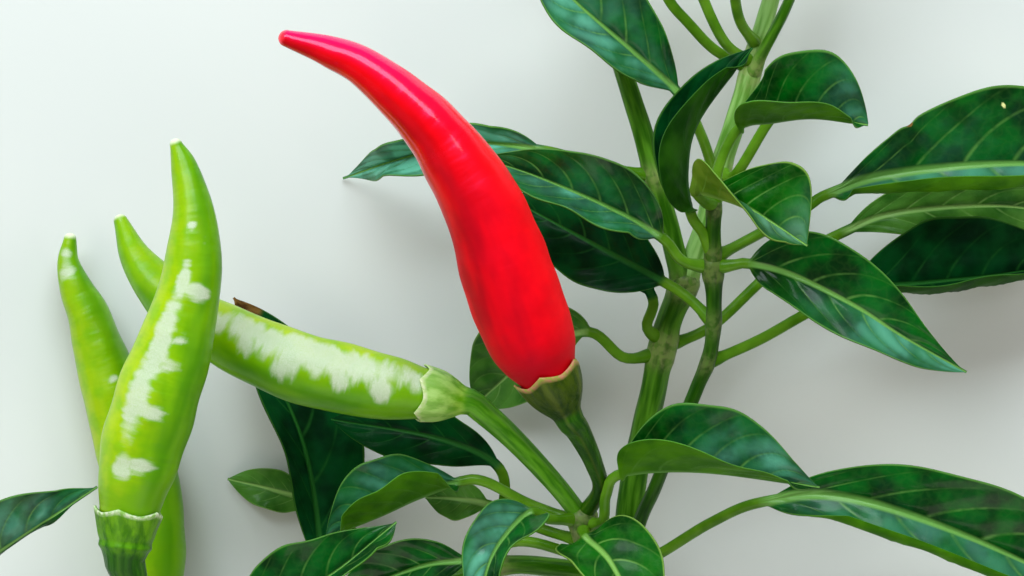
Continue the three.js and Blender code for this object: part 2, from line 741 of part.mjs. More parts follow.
function solidOf(geometry) {
  const bare = geometry.clone();
  bare.deleteAttribute("normal");
  bare.deleteAttribute("uv");
  const merged = BufferGeometryUtils.mergeVertices(bare, 1e-4);
  return new wasm.Manifold(new wasm.Mesh({
    numProp: 3,
    vertProperties: new Float32Array(merged.attributes.position.array),
    triVerts: new Uint32Array(merged.index.array),
  }));
}

function geometryOf(solid) {
  const mesh = solid.getMesh();
  const geometry = new THREE.BufferGeometry();
  geometry.setAttribute("position", new THREE.BufferAttribute(mesh.vertProperties, 3));
  geometry.setIndex(new THREE.BufferAttribute(mesh.triVerts, 1));
  return geometry;
}

// The largest piece that is left of a solid when others are cut away from it.
function cutClear(solid, others) {
  const rest = others.reduce((body, other) => body.subtract(other), solid);
  return rest.decompose().sort((a, b) => b.volume() - a.volume())[0];
}

function meshOf(name, geometry, colour) {
  geometry.computeVertexNormals();
  const material = new THREE.MeshStandardMaterial({
    color: COLOURS[colour],
    roughness: colour === "ripe" || colour === "green" ? 0.2 : 0.5,
    metalness: 0,
  });
  const mesh = new THREE.Mesh(geometry, material);
  mesh.name = name;
  return mesh;
}

const group = new THREE.Group();

// Each stem is cut clear of the stems before it.
const grownStems = [];
for (const [name, stem] of Object.entries(STEMS)) {
  const solid = cutClear(solidOf(stemGeometry(stem)), grownStems);
  grownStems.push(solidOf(stemGeometry(stem, GAP)));
  group.add(meshOf(name, geometryOf(solid), stem.colour));
}

for (const [name, fruit] of Object.entries(FRUITS)) {
  group.add(meshOf(name, fruitGeometry(fruit), fruit.colour));
  const stalk = cutClear(solidOf(fruitStalkGeometry(fruit)), grownStems);
  group.add(meshOf(`${name}_stalk`, geometryOf(stalk), "calyx"));
}

for (const [name, leaf] of Object.entries(LEAVES)) {
  const solid = cutClear(solidOf(leafGeometry(leaf)), grownStems);
  group.add(meshOf(name, geometryOf(solid), leaf.colour));
}

// The origin is on the surface that the branch lies on, under the middle of it.
const box = new THREE.Box3().setFromObject(group);
const middle = box.getCenter(new THREE.Vector3());
group.position.set(-middle.x, -middle.y, -box.min.z);

export default group;
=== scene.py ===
import json

import bpy
import numpy as np
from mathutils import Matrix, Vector


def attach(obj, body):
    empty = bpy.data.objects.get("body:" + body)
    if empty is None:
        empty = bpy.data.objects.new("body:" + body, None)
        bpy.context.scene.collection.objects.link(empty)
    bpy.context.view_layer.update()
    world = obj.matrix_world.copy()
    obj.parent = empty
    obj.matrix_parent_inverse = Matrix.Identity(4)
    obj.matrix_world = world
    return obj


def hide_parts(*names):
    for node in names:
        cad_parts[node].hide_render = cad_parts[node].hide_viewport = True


# A cut branch of a bird's-eye chilli pepper plant that lies on a pale floor, seen from above.
# The tables are in millimetres, with X to the right and Y away from the cut end. They are the
# source's own, apart from a few leaves and one calyx that follow the picture more closely.
# Each piece is a row of rings along a line, and stands for the solid that it is named after.
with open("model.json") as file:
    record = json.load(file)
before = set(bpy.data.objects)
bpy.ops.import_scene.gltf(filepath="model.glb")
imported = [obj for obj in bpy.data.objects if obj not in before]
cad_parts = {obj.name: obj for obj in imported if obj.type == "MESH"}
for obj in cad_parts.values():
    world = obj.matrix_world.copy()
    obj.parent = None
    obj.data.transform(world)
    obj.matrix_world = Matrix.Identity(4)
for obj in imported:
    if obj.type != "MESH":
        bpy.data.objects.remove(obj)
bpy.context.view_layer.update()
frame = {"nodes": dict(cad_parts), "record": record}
print("frame loaded:", len(frame["nodes"]), "nodes")

metres = 0.001              # in a millimetre
lookStep = 1e-4             # share of a line from a point to the two that give its direction
patchEdges = (0.32, 0.68)   # the noise at which a colour's soft patches start and are full
fineScale = 6.0             # how many times closer a surface's fine noise is than its broad one


def unit(vectors):
    # Each vector divided by its own length.
    return vectors / np.maximum(np.linalg.norm(vectors, axis=-1, keepdims=True), 1e-12)


def smoothStep(low, high, value):
    # 0 up to low, 1 from high on, and 3x^2 - 2x^3 between them.
    x = np.clip((value - low) / (high - low), 0, 1)
    return x * x * (3 - 2 * x)


def hump(value, middle, reach):
    # A bell curve: e to the minus square of the distance from the middle over the reach.
    return np.exp(-(((value - middle) / reach) ** 2))


def curveAt(points, place):
    # A curve through the points: in each span the cubic that leaves and meets its two points with
    # half the step between their neighbours. Past each end it runs on by the last step.
    points = np.asarray(points, float)
    ends = [2 * points[:1] - points[1:2], points, 2 * points[-1:] - points[-2:-1]]
    chain = np.concatenate(ends)
    spot = np.clip(place, 0, 1) * (len(points) - 1)
    span = np.minimum(spot.astype(int), len(points) - 2)
    u = (spot - span)[:, None]
    before, start, end, after = (chain[span + step] for step in range(4))
    leaving = (end - before) / 2
    meeting = (after - start) / 2
    near = (2 * u ** 3 - 3 * u ** 2 + 1) * start + (u ** 3 - 2 * u ** 2 + u) * leaving
    far = (3 * u ** 2 - 2 * u ** 3) * end + (u ** 3 - u ** 2) * meeting
    return near + far


def wayAt(points, place):
    # The direction of the curve, from two near points on it.
    return unit(curveAt(points, place + lookStep) - curveAt(points, place - lookStep))


def runLength(points):
    # The distance along a row of points, from 0 at the first.
    steps = np.linalg.norm(np.diff(points, axis=0), axis=1)
    return np.concatenate([[0], np.cumsum(steps)])


def stations(line, spacing):
    # Centres, directions and radii about 'spacing' apart on a line of x, y, z and radius.
    line = np.array(line, float)
    place = np.linspace(0, 1, int(runLength(line[:, :3])[-1] / spacing) + 1)
    return curveAt(line[:, :3], place), wayAt(line[:, :3], place), curveAt(line[:, 3:], place)[:, 0]


def repeated(row, count):
    return np.repeat(np.asarray(row)[None], count, axis=0)


def joined(*stretches):
    # Stretches of a line one after another, each as its centres, directions, radii and so on.
    return [np.concatenate(parts) for parts in zip(*stretches)]


def turns(sides):
    # The angles of a ring's points, in radians.
    return 2 * np.pi * np.arange(sides) / sides


def ringsRound(centres, tangents, radii, forward=0.0):
    # Point = centre + radius * (across * cos(angle) + up * sin(angle)) + forward * tangent. The
    # across direction is carried along the line and only loses its part along the tangent.
    across = np.array([0.0, 0.0, 1.0])
    carried = []
    for tangent in tangents:
        across = unit(across - tangent * (across @ tangent))
        carried.append(across)
    carried = np.array(carried)
    up = np.cross(tangents, carried)
    angles = turns(radii.shape[1])[:, None]
    outward = carried[:, None] * np.cos(angles) + up[:, None] * np.sin(angles)
    rings = centres[:, None] + outward * radii[..., None]
    return rings + tangents[:, None] * np.broadcast_to(forward, radii.shape)[..., None]


def grainRound(radii, lengths):
    # A place on a round piece that has no seam: round it by its angle and radius, and along it.
    angles = turns(radii.shape[1])
    along = np.broadcast_to(lengths[:, None], radii.shape)
    return np.stack([radii * np.cos(angles), radii * np.sin(angles), along], -1)


def roundedEnd(centre, tangent, radius, depth, angles):
    # Stations of a rounded end: depth * sin(angle) further on, radius * cos(angle) wide.
    angles = np.radians(angles)
    centres = centre + np.outer(depth * np.sin(angles), tangent)
    return centres, repeated(tangent, len(angles)), radius * np.cos(angles)


def pieceFromRings(name, node, rings, attributes, material):
    # Quads between neighbouring rings, and a fan of triangles that closes each end.
    rows, sides = rings.shape[:2]
    index = np.arange(rows * sides).reshape(rows, sides)
    beside = np.roll(index, -1, axis=1)
    quads = np.stack([index[:-1], beside[:-1], beside[1:], index[1:]], -1).reshape(-1, 4)
    foot = np.full(sides, rows * sides)
    fans = [[foot, beside[0], index[0]], [foot + 1, index[-1], beside[-1]]]
    closing = np.concatenate([np.stack(fan, -1) for fan in fans])
    points = np.concatenate([rings.reshape(-1, 3), rings[[0, -1]].mean(1)])
    mesh = bpy.data.meshes.new(name)
    mesh.from_pydata(((points + shift) * metres).tolist(), [], quads.tolist() + closing.tolist())
    for label, values in attributes.items():
        flat = np.concatenate([values.reshape(-1, 3), values[[0, -1]].mean(1)])
        layer = mesh.attributes.new(label, "FLOAT_VECTOR", "POINT")
        layer.data.foreach_set("vector", flat.astype(np.float32).ravel())
    mesh.shade_smooth()
    mesh.materials.append(material)
    piece = bpy.data.objects.new(name, mesh)
    bpy.context.scene.collection.objects.link(piece)
    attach(piece, "root")
    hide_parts(node)


# Small helpers for materials.
def tint(red, green, blue):
    # A colour as it shows on a screen, from 0 to 255, turned into the linear one of a shader.
    shares = np.array([red, green, blue]) / 255
    linear = np.where(shares <= 0.04045, shares / 12.92, ((shares + 0.055) / 1.055) ** 2.4)
    return (*linear.tolist(), 1.0)


def put(tree, kind, inputs=None, **settings):
    # A node with its settings. An input that is a socket is linked, and any other is a value.
    node = tree.nodes.new(kind)
    for key, value in settings.items():
        setattr(node, key, value)
    for key, value in (inputs or {}).items():
        if isinstance(value, bpy.types.NodeSocket):
            tree.links.new(value, node.inputs[key])
        else:
            node.inputs[key].default_value = value
    return node


def calc(tree, operation, *values):
    return put(tree, "ShaderNodeMath", dict(enumerate(values)), operation=operation).outputs[0]


def ease(tree, value, low, high, start=0.0, end=1.0):
    # The value's smooth step from low to high, as a number from start to end.
    inputs = {"Value": value, "From Min": low, "From Max": high, "To Min": start, "To Max": end}
    return put(tree, "ShaderNodeMapRange", inputs, interpolation_type="SMOOTHSTEP").outputs[0]


def fromTo(tree, share, least, most):
    # The least where the share is 0, the most where it is 1, and a smooth step between them.
    return ease(tree, share, 0.0, 1.0, least, most)


def blendColour(tree, share, first, second):
    return put(tree, "ShaderNodeMix", {0: share, 6: first, 7: second}, data_type="RGBA").outputs[2]


def layered(tree, colour, *layers):
    # The colour with each layer over it in turn, as much as the layer's share says.
    for share, above in layers:
        colour = blendColour(tree, share, colour, above)
    return colour


def stretched(tree, place, along, around=1.0):
    # A place on a round piece, with its pattern drawn out by 1 over each of the two numbers.
    inputs = {0: place, 1: (around, around, along)}
    return put(tree, "ShaderNodeVectorMath", inputs, operation="MULTIPLY").outputs[0]


def readAttribute(tree, label):
    # The three numbers of a piece's own attribute, and the vector that they make.
    node = put(tree, "ShaderNodeAttribute", attribute_name=label)
    parts = put(tree, "ShaderNodeSeparateXYZ", {"Vector": node.outputs["Vector"]})
    return [*parts.outputs, node.outputs["Vector"]]


def newGroup(name, inputs, outputs):
    tree = bpy.data.node_groups.new(name, "ShaderNodeTree")
    for way, sockets in (("INPUT", inputs), ("OUTPUT", outputs)):
        for label, kind in sockets.items():
            tree.interface.new_socket(label, in_out=way, socket_type="NodeSocket" + kind)
    return tree, put(tree, "NodeGroupInput").outputs, put(tree, "NodeGroupOutput")


def makeMottle():
    # Two colours in soft patches: a smooth step of noise says how much of the second shows.
    inputs = {"Place": "Vector", "Scale": "Float", "Detail": "Float", "First": "Color",
              "Second": "Color"}
    tree, given, result = newGroup("mottle", inputs, {"Color": "Color", "Mask": "Float"})
    cloud = {"Vector": given["Place"], "Scale": given["Scale"], "Detail": given["Detail"]}
    noise = put(tree, "ShaderNodeTexNoise", cloud)
    mask = ease(tree, noise.outputs[0], *patchEdges)
    mixed = blendColour(tree, mask, given["First"], given["Second"])
    tree.links.new(mixed, result.inputs["Color"])
    tree.links.new(mask, result.inputs["Mask"])
    return tree


def makeRelief():
    # Height in millimetres: broad noise, finer and closer noise, and what the piece adds.
    labels = ("Scale", "Broad", "Fine", "Added")
    inputs = {"Place": "Vector", **{label: "Float" for label in labels}}
    tree, given, result = newGroup("relief", inputs, {"Normal": "Vector"})
    scaleUp = calc(tree, "MULTIPLY", given["Scale"], fineScale)
    broad = put(tree, "ShaderNodeTexNoise", {"Vector": given["Place"], "Scale": given["Scale"]})
    fine = put(tree, "ShaderNodeTexNoise", {"Vector": given["Place"], "Scale": scaleUp})
    first = calc(tree, "MULTIPLY_ADD", broad.outputs[0], given["Broad"], given["Added"])
    height = calc(tree, "MULTIPLY_ADD", fine.outputs[0], given["Fine"], first)
    bump = put(tree, "ShaderNodeBump", {"Height": height, "Distance": metres})
    tree.links.new(bump.outputs[0], result.inputs["Normal"])
    return tree


mottle = makeMottle()
relief = makeRelief()


def mottled(tree, place, scale, first, second, detail=2.0):
    # The mottle's colour and mask at a place, its scale in patches for each millimetre.
    inputs = {"Place": place, "Scale": scale, "Detail": detail, "First": first, "Second": second}
    return put(tree, "ShaderNodeGroup", inputs, node_tree=mottle).outputs


def maskOf(tree, place, scale, detail=2.0):
    # Only the mottle's mask, as a number from 0 to 1.
    inputs = {"Place": place, "Scale": scale, "Detail": detail}
    return put(tree, "ShaderNodeGroup", inputs, node_tree=mottle).outputs["Mask"]


def raised(tree, place, scale, broad, fine, added=0.0):
    # The relief's normal, with its heights in millimetres.
    inputs = {"Place": place, "Scale": scale, "Broad": broad, "Fine": fine, "Added": added}
    return put(tree, "ShaderNodeGroup", inputs, node_tree=relief).outputs["Normal"]


def newMaterial(name, surface):
    # A material and its shader, whose plain values are set on the shader's own sockets.
    material = bpy.data.materials.new(name)
    material.use_nodes = True
    tree = material.node_tree
    shader = tree.nodes["Principled BSDF"]
    for key, value in surface.items():
        shader.inputs[key].default_value = value
    return material, tree, shader


def feed(tree, shader, sockets):
    # Links a colour, value or normal that changes over the surface to each socket named.
    for name, value in sockets.items():
        tree.links.new(value, shader.inputs[name])


# Stems: green skin with low ridges, swollen and pinkish where something grows out of them. A line
# runs from where a stem starts to its tip, and a point is x, y, z and radius. The foot of a stem
# is cut, or part of a fork, or else a little wider where it has grown out of another.
stems = {
    "main_stem": {
        "colour": "stem", "foot": "cut",
        "line": [
            [15.0, -57.0, 2.2, 2.0], [15.0, -53.5, 2.2, 2.0], [15.8, -43.7, 4.5, 1.95],
            [16.8, -29.7, 8.0, 1.9], [19.3, -17.1, 10.0, 1.85], [21.8, -5.9, 12.0, 1.8],
            [24.4, 0.8, 13.0, 1.9],
        ],
    },
    "right_stem": {
        "colour": "paleStem", "foot": "fork",
        "line": [
            [24.4, 0.4, 13.0, 1.6], [27.2, 8.8, 12.5, 1.5], [29.4, 17.2, 12.5, 1.5],
            [32.6, 27.0, 12.5, 1.45], [35.4, 36.8, 12.5, 1.3], [38.2, 47.3, 12.0, 1.0],
        ],
    },
    "left_stem": {
        "colour": "stem", "foot": "fork",
        "line": [
            [24.2, 0.2, 13.0, 1.6], [22.4, 7.4, 14.0, 1.5], [20.0, 15.8, 15.0, 1.5],
            [17.9, 23.5, 15.5, 1.4], [15.7, 30.5, 16.0, 1.3], [13.2, 39.6, 16.0, 1.2],
            [10.9, 48.7, 15.0, 0.9],
        ],
    },
    "front_stem": {
        "colour": "shoot", "foot": "grown",
        "line": [
            [15.8, -40.2, 6.0, 1.1], [17.9, -33.2, 11.0, 1.0], [20.0, -28.3, 15.5, 0.95],
            [22.8, -21.3, 19.5, 0.95], [25.9, -14.3, 22.0, 1.0], [27.9, -8.7, 24.0, 1.0],
            [28.3, -1.7, 26.0, 1.1], [28.1, 3.2, 27.0, 1.5],
        ],
    },
    "young_shoot": {
        "colour": "shoot", "foot": "fork",
        "line": [[28.1, 3.4, 27.0, 1.1], [28.2, 7.4, 29.0, 1.1], [28.3, 11.6, 30.0, 1.0]],
    },
    "side_shoot": {
        "colour": "stem", "foot": "grown",
        "line": [
            [33.6, 29.4, 13.5, 0.8], [36.6, 35.6, 16.0, 0.8], [38.9, 40.3, 17.5, 0.75],
            [42.0, 48.7, 18.0, 0.6],
        ],
    },
    "fruiting_twig": {
        "colour": "stem", "foot": "grown",
        "line": [
            [15.4, -47.2, 5.0, 1.2], [13.0, -43.7, 12.0, 1.1], [10.9, -38.1, 18.0, 1.2],
            [9.8, -32.2, 22.0, 2.0],
        ],
    },
    "lower_left_branch": {
        "colour": "stem", "foot": "grown",
        "line": [
            [16.2, -40.9, 5.0, 1.4], [10.6, -40.0, 9.0, 1.4], [-2.0, -39.2, 11.0, 1.3],
            [-15.7, -43.7, 12.0, 1.25], [-29.7, -52.0, 13.0, 1.2], [-47.2, -58.8, 14.0, 1.4],
            [-57.7, -59.8, 14.0, 1.1], [-73.1, -56.3, 14.0, 1.0], [-82.9, -50.7, 14.0, 0.9],
        ],
    },
}

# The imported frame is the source's own with the whole branch moved. The cut end's mount says how far.
cutEnd = next(mount for mount in frame["record"]["mounts"] if mount["name"] == "cut_end")
shift = np.array(cutEnd["pos_m"]) / metres - np.array(stems["main_stem"]["line"][0][:3])

stemLook = {
    "sides": 40,
    "spacing": 0.5,         # millimetres between rings
    "ridges": 5,
    "ridgeHeight": 0.035,   # share of the radius
    "ridgeLoss": 0.6,       # share of the ridges that is lost at a node
    "twist": 0.05,          # radians for each millimetre
    "unevenness": 0.02,     # share of the radius that a slow wave adds on one side
    "slowWave": 0.9,        # radians for each millimetre
    "axisPoints": 201,      # on a stem's middle line, to find the nearest one
    "swelling": 0.16,       # share of the radius at a node
    "swellingReach": 1.7,
    "endAngles": [10, 20, 30, 40, 50, 60, 70, 80],
    "cutShares": [0.25, 0.5, 0.7, 0.85, 0.94],
    "cutBevel": 0.12,
    "evenRings": 4,         # beside the cut end, without the swelling of a node
    "footFlare": 0.35,      # share of a stalk's radius at its foot
    "footReach": 1.3,
    "surface": {"Specular IOR Level": 0.18, "Coat Weight": 0.06},
    "roughness": (0.36, 0.50),
    "relief": (1.6, 0.10, 0.02),    # scale, broad height and fine height, as for every piece
    "streak": 0.12,         # how little the skin changes along the stem
    "skinScale": 1.1,       # patches for each millimetre, as for every scale
    "nodeScale": 0.9,
    "pith": (0.6, 0.95),    # shares of the radius where the pith ends and the skin starts
    # of a node, from least to most
    "pinkness": {"stem": (0.10, 0.60), "paleStem": (0.10, 0.60), "shoot": (0.05, 0.35)},
}
stemColours = {
    "stem": (tint(34, 82, 0), tint(76, 128, 22)),
    "paleStem": (tint(84, 134, 40), tint(142, 184, 100)),
    "shoot": (tint(18, 60, 0), tint(44, 92, 0)),
    "node": (tint(168, 146, 118), tint(134, 152, 82)),
    "pith": (tint(206, 214, 176), tint(150, 178, 100)),
}


def stemMaterial(tone):
    look = stemLook
    material, tree, shader = newMaterial(tone, look["surface"])
    grain = readAttribute(tree, "grain")[3]
    node, cut, radial, _ = readAttribute(tree, "mark")
    streaks = stretched(tree, grain, look["streak"])
    skin = mottled(tree, streaks, look["skinScale"], *stemColours[tone])
    blotch = mottled(tree, grain, look["nodeScale"], *stemColours["node"])
    flecks = fromTo(tree, blotch["Mask"], *look["pinkness"][tone])
    pink = calc(tree, "MULTIPLY", node, flecks)
    knotted = blendColour(tree, pink, skin["Color"], blotch["Color"])
    pith = blendColour(tree, ease(tree, radial, *look["pith"]), *stemColours["pith"])
    feed(tree, shader, {
        "Base Color": blendColour(tree, cut, knotted, pith),
        "Roughness": fromTo(tree, skin["Mask"], *look["roughness"]),
        "Normal": raised(tree, streaks, *look["relief"]),
    })
    return material


def growthPoints():
    # Where a leaf, a fruit stalk or another stem starts.
    feet = [leaf["line"][0] for leaf in leaves.values()]
    feet += [fruit["stalk"][0][:3] for fruit in fruits.values()]
    feet += [stem["line"][0][:3] for stem in stems.values()]
    return np.array(feet, float)


def rooted(line, *left):
    # The line with its first point moved to the nearest point on the middle line that carries it,
    # and the radius there. The stems that are left out can't carry it.
    line = np.array(line, float)
    place = np.linspace(0, 1, stemLook["axisPoints"])
    carriers = [curveAt(stem["line"], place) for name, stem in stems.items() if name not in left]
    axis = np.concatenate(carriers)
    nearest = axis[np.argmin(np.linalg.norm(axis[:, :3] - line[0, :3], axis=1))]
    line[0, :3] = nearest[:3]
    return line, nearest[3]


def flare(lengths, carrier):
    # A stalk's foot is wider by a bell curve at the surface of what carries it.
    return 1 + stemLook["footFlare"] * hump(lengths, carrier, stemLook["footReach"])


def stemSurface(name, material):
    # Radius = the line's own, times 1 plus the ridges' cosine round it, plus a bell at each node.
    look = stemLook
    foot = stems[name]["foot"]
    line, carrier = rooted(stems[name]["line"], name)
    if foot == "cut":
        line = stems[name]["line"]
    centres, tangents, radius = stations(line, look["spacing"])
    if foot == "grown":
        radius = radius * flare(runLength(centres), carrier)
    cap = roundedEnd(centres[-1], tangents[-1], radius[-1], radius[-1], look["endAngles"])
    centres, tangents, radius = joined((centres, tangents, radius), cap)
    away = np.linalg.norm(centres[:, None] - growthPoints()[None], axis=2)
    node = np.minimum(hump(away, 0, look["swellingReach"]).sum(1), 1)
    cut, radial = np.zeros(len(centres)), np.ones(len(centres))
    if foot == "cut":
        shares = np.array(look["cutShares"])
        count = len(shares)
        flat = (repeated(centres[0], count), repeated(tangents[0], count), shares * radius[0])
        node[:look["evenRings"]] = 0
        centres, tangents, radius, node, cut, radial = joined(
            (*flat, np.zeros(count), np.ones(count), shares),
            (centres, tangents, radius, node, cut, radial),
        )
        centres[count] += tangents[0] * look["cutBevel"]
    lengths = runLength(centres)
    angles = turns(look["sides"])
    phase = look["ridges"] * (angles[None] + look["twist"] * lengths[:, None])
    ridge = look["ridgeHeight"] * np.cos(phase) * (1 - look["ridgeLoss"] * node)[:, None]
    slow = np.sin(look["slowWave"] * lengths)[:, None]
    uneven = look["unevenness"] * slow * np.cos(angles[None] - 1.0)
    radii = radius[:, None] * (1 + (ridge + uneven) * (1 - cut)[:, None])
    radii = radii * (1 + look["swelling"] * node)[:, None]
    rings = ringsRound(centres, tangents, radii)
    marks = np.broadcast_to(np.stack([node, cut, radial], -1)[:, None], (*radii.shape, 3))
    attributes = {"grain": grainRound(radii, lengths), "mark": marks}
    pieceFromRings(name + "_skin", name, rings, attributes, material)


# Fruits: glossy, a little lobed and dented, with a pale point where the flower sat. The body runs
# from the calyx to the tip and the stalk from the stem to the calyx, by x, y, z and radius. Sunny
# is the direction in the picture that the side painted brighter faces: painted light on that side
# and painted shade on the other. A pale patch, partly the skin's own speckled paleness and partly a
# painted reflection, has its place along the fruit, its angle from the top round it, and half its
# length and width there, and a larger fullness makes the patches run together. Cup is the calyx's
# depth, tone its colours, and the rest of what calyx holds is as in calyxLook.
fruits = {
    "ripe_fruit": {
        "colour": "ripe", "sunny": (0.8, 0.6), "tipDepth": 1.2,
        "body": [
            [5.0, -11.9, 37.4, 4.2], [3.7, -9.2, 37.8, 5.6], [2.1, -5.6, 38.6, 6.4],
            [-0.4, 1.1, 40.2, 6.5], [-3.4, 10.0, 42.0, 5.8], [-7.5, 17.3, 42.5, 5.0],
            [-12.6, 23.9, 42.5, 4.0], [-20.2, 30.4, 42.5, 2.9], [-25.6, 33.0, 42.2, 2.2],
            [-31.4, 34.8, 42.0, 1.2],
        ],
        "stalk": [
            [10.7, -31.6, 22.6, 1.2], [12.3, -28.3, 26.0, 1.1], [11.4, -24.4, 30.5, 1.3],
            [9.4, -20.2, 34.4, 1.7],
        ],
        "calyx": {"tone": "olive", "cup": 6.0},
    },
    "front_green_fruit": {
        "colour": "green", "sunny": (-1.0, 0.1), "tipDepth": 0.9,
        "body": [
            [-53.5, -31.1, 37.2, 4.2], [-52.5, -25.5, 37.5, 5.4], [-51.0, -19.9, 38.0, 5.9],
            [-49.3, -14.3, 38.5, 5.9], [-46.9, -7.3, 39.0, 5.2], [-45.1, -0.3, 39.0, 4.4],
            [-44.4, 5.3, 39.0, 3.8], [-44.6, 11.6, 38.5, 2.8], [-45.9, 17.2, 38.0, 1.8],
            [-46.9, 20.0, 38.0, 0.9],
        ],
        "stalk": [
            [-47.2, -58.8, 15.0, 1.3], [-49.5, -54.5, 21.5, 1.4], [-51.6, -48.8, 29.5, 1.7],
            [-53.0, -42.0, 34.8, 2.3],
        ],
        "calyx": {
            "tone": "dark", "cup": 5.3, "lean": (-0.08, 0.0, 0.0), "neckSwell": 1.5, "neckRing": 0.2,
            "rimGap": 0.22, "rimWall": 0.40, "toothReach": 0.75,
            "outline": [(1.0, 0.0), (0.8, 0.22), (0.45, 0.52)],
        },
        "fullness": 1.35,
        "patches": [
            (0.12, -21, 0.032, 13), (0.13, 4, 0.018, 20), (0.30, -26, 0.100, 14), (0.46, -21, 0.100, 13),
            (0.62, -13, 0.045, 10), (0.595, 19, 0.020, 24), (0.40, 2, 0.010, 14), (0.27, 0, 0.014, 16),
            (0.76, -6, 0.007, 9), (0.47, 6, 0.008, 10), (0.72, 24, 0.004, 8),
        ],
    },
    "left_green_fruit": {
        "colour": "green", "sunny": (-0.9, 0.4), "tipDepth": 0.9,
        "body": [
            [-51.1, -45.1, 6.2, 3.9], [-51.2, -38.1, 5.8, 5.1], [-51.8, -29.7, 5.4, 5.2],
            [-54.6, -19.9, 5.0, 4.9], [-57.2, -12.2, 4.8, 4.1], [-59.6, -4.5, 4.6, 3.1],
            [-61.5, -0.3, 4.6, 2.4], [-62.6, 3.6, 4.6, 1.6], [-62.4, 6.9, 4.8, 0.9],
        ],
        "stalk": [[-47.2, -58.8, 13.0, 1.3], [-49.6, -55.0, 10.5, 1.4]],
        "calyx": {"tone": "dark", "cup": 5.0},
        "fullness": 0.8,
        "patches": [(0.92, -14, 0.045, 34), (0.60, 10, 0.008, 8)],
    },
    "lying_green_fruit": {
        "colour": "green", "sunny": (0.2, 1.0), "tipDepth": 1.0,
        "body": [
            [-12.5, -14.8, 26.8, 3.6], [-17.1, -14.0, 26.5, 4.5], [-22.7, -12.9, 26.0, 4.9],
            [-28.3, -11.6, 26.0, 5.0], [-34.6, -9.4, 25.0, 4.8], [-40.2, -6.6, 24.0, 4.4],
            [-45.1, -4.2, 22.5, 4.0], [-49.3, -0.3, 21.0, 3.4], [-52.8, 4.2, 19.5, 2.3],
            [-55.0, 9.4, 18.0, 1.0],
        ],
        "stalk": [[8.8, -31.4, 22.0, 1.3], [6.0, -27.4, 24.0, 1.4], [0.0, -21.0, 25.5, 1.6]],
        "calyx": {"tone": "fresh", "cup": 5.5},
        "fullness": 1.25,
        "patches": [
            (0.28, 28, 0.29, 26), (0.62, 24, 0.045, 20), (0.10, -4, 0.03, 20), (0.22, -2, 0.025, 22),
            (0.35, -2, 0.03, 24), (0.47, 6, 0.02, 18), (0.56, 18, 0.02, 14),
        ],
    },
}
fruitLook = {
    "sides": 72,
    "spacing": 0.6,
    "baseDepth": 2.6,
    "endAngles": [8, 16, 24, 32, 40, 48, 56, 64, 72, 80, 86],
    "lobes": 3,
    "lobeTwist": 0.02,      # radians for each millimetre
    "fades": (5.0, 3.0),    # the relief fades over these millimetres at the base and at the tip
    "dentCount": 6,
    "dentsRound": (0, 4),   # of each wave round the fruit, up to one less than the second
    "dentPeriod": (5.0, 15.0),      # millimetres along it
    "patchEdge": (0.2, 1.8),        # of a pale patch, in halves of its size
    # A fade says from where to where along the fruit or toward its sunny side and, where it has
    # four numbers, from how little to how much.
    "skin": {
        "shadedStretch": 0.35, "shadedScale": 0.3, "sunnyScale": 0.35, "sunnyFade": (-0.7, 0.9),
        "archSheenFade": (0.45, 0.95, 0.0, 0.6), "archSheenSide": (-0.3, 0.8),
        "baseFade": (0.0, 0.14, 0.6, 0.0), "tipFade": (0.982, 0.997),
        "roughFade": (0.30, 0.65), "coatFade": (0.35, 0.70),
        # of the pale patches, from their own strength
        "bandStretch": 0.28, "bandScale": 0.7, "speckleScale": 8.0, "detail": 3.0,
        "raggedness": 0.7, "paleLoss": 0.35, "paleFade": (0.10, 1.0), "paleEdge": (0.0, 0.2),
        "speckles": (0.66, 0.92), "speckleRoughness": 0.05, "paleRoughness": 0.25,
    },
    "ripe": {
        "lobeHeight": 0.008, "dents": 0.0064, "seed": 5,
        "surface": {
            "Specular IOR Level": 0.5, "Specular Tint": (1.0, 0.16, 0.60, 1.0),
            "Coat Roughness": 0.10,
        },
        # from the base to the arch and tip
        "coat": (0.0, 0.60), "roughness": (0.60, 0.16), "relief": (0.5, 0.16, 0.004),
    },
    "green": {
        "lobeHeight": 0.012, "dents": 0.0104, "seed": 11,
        "surface": {"Specular IOR Level": 0.22, "Coat Roughness": 0.16},
        "coat": (0.10, 0.18), "roughness": (0.36, 0.28), "relief": (0.5, 0.24, 0.008),
    },
}
# Shaded and sunny are one skin painted darker and lighter: painted shade and painted light.
fruitColours = {
    # The arch colour of each skin is a painted highlight.
    "ripe": {
        "shaded": (tint(176, 0, 2), tint(218, 0, 2)), "sunny": (tint(240, 0, 2), tint(252, 2, 4)),
        "archSheen": tint(255, 20, 120), "base": tint(150, 0, 0), "pale": tint(255, 120, 120),
        "tip": tint(255, 60, 70),
    },
    "green": {
        "shaded": (tint(78, 142, 0), tint(108, 166, 0)),
        "sunny": (tint(136, 182, 0), tint(166, 194, 2)),
        "archSheen": tint(104, 160, 0), "base": tint(96, 150, 12), "pale": tint(196, 205, 182),
        "tip": tint(224, 230, 196),
    },
}


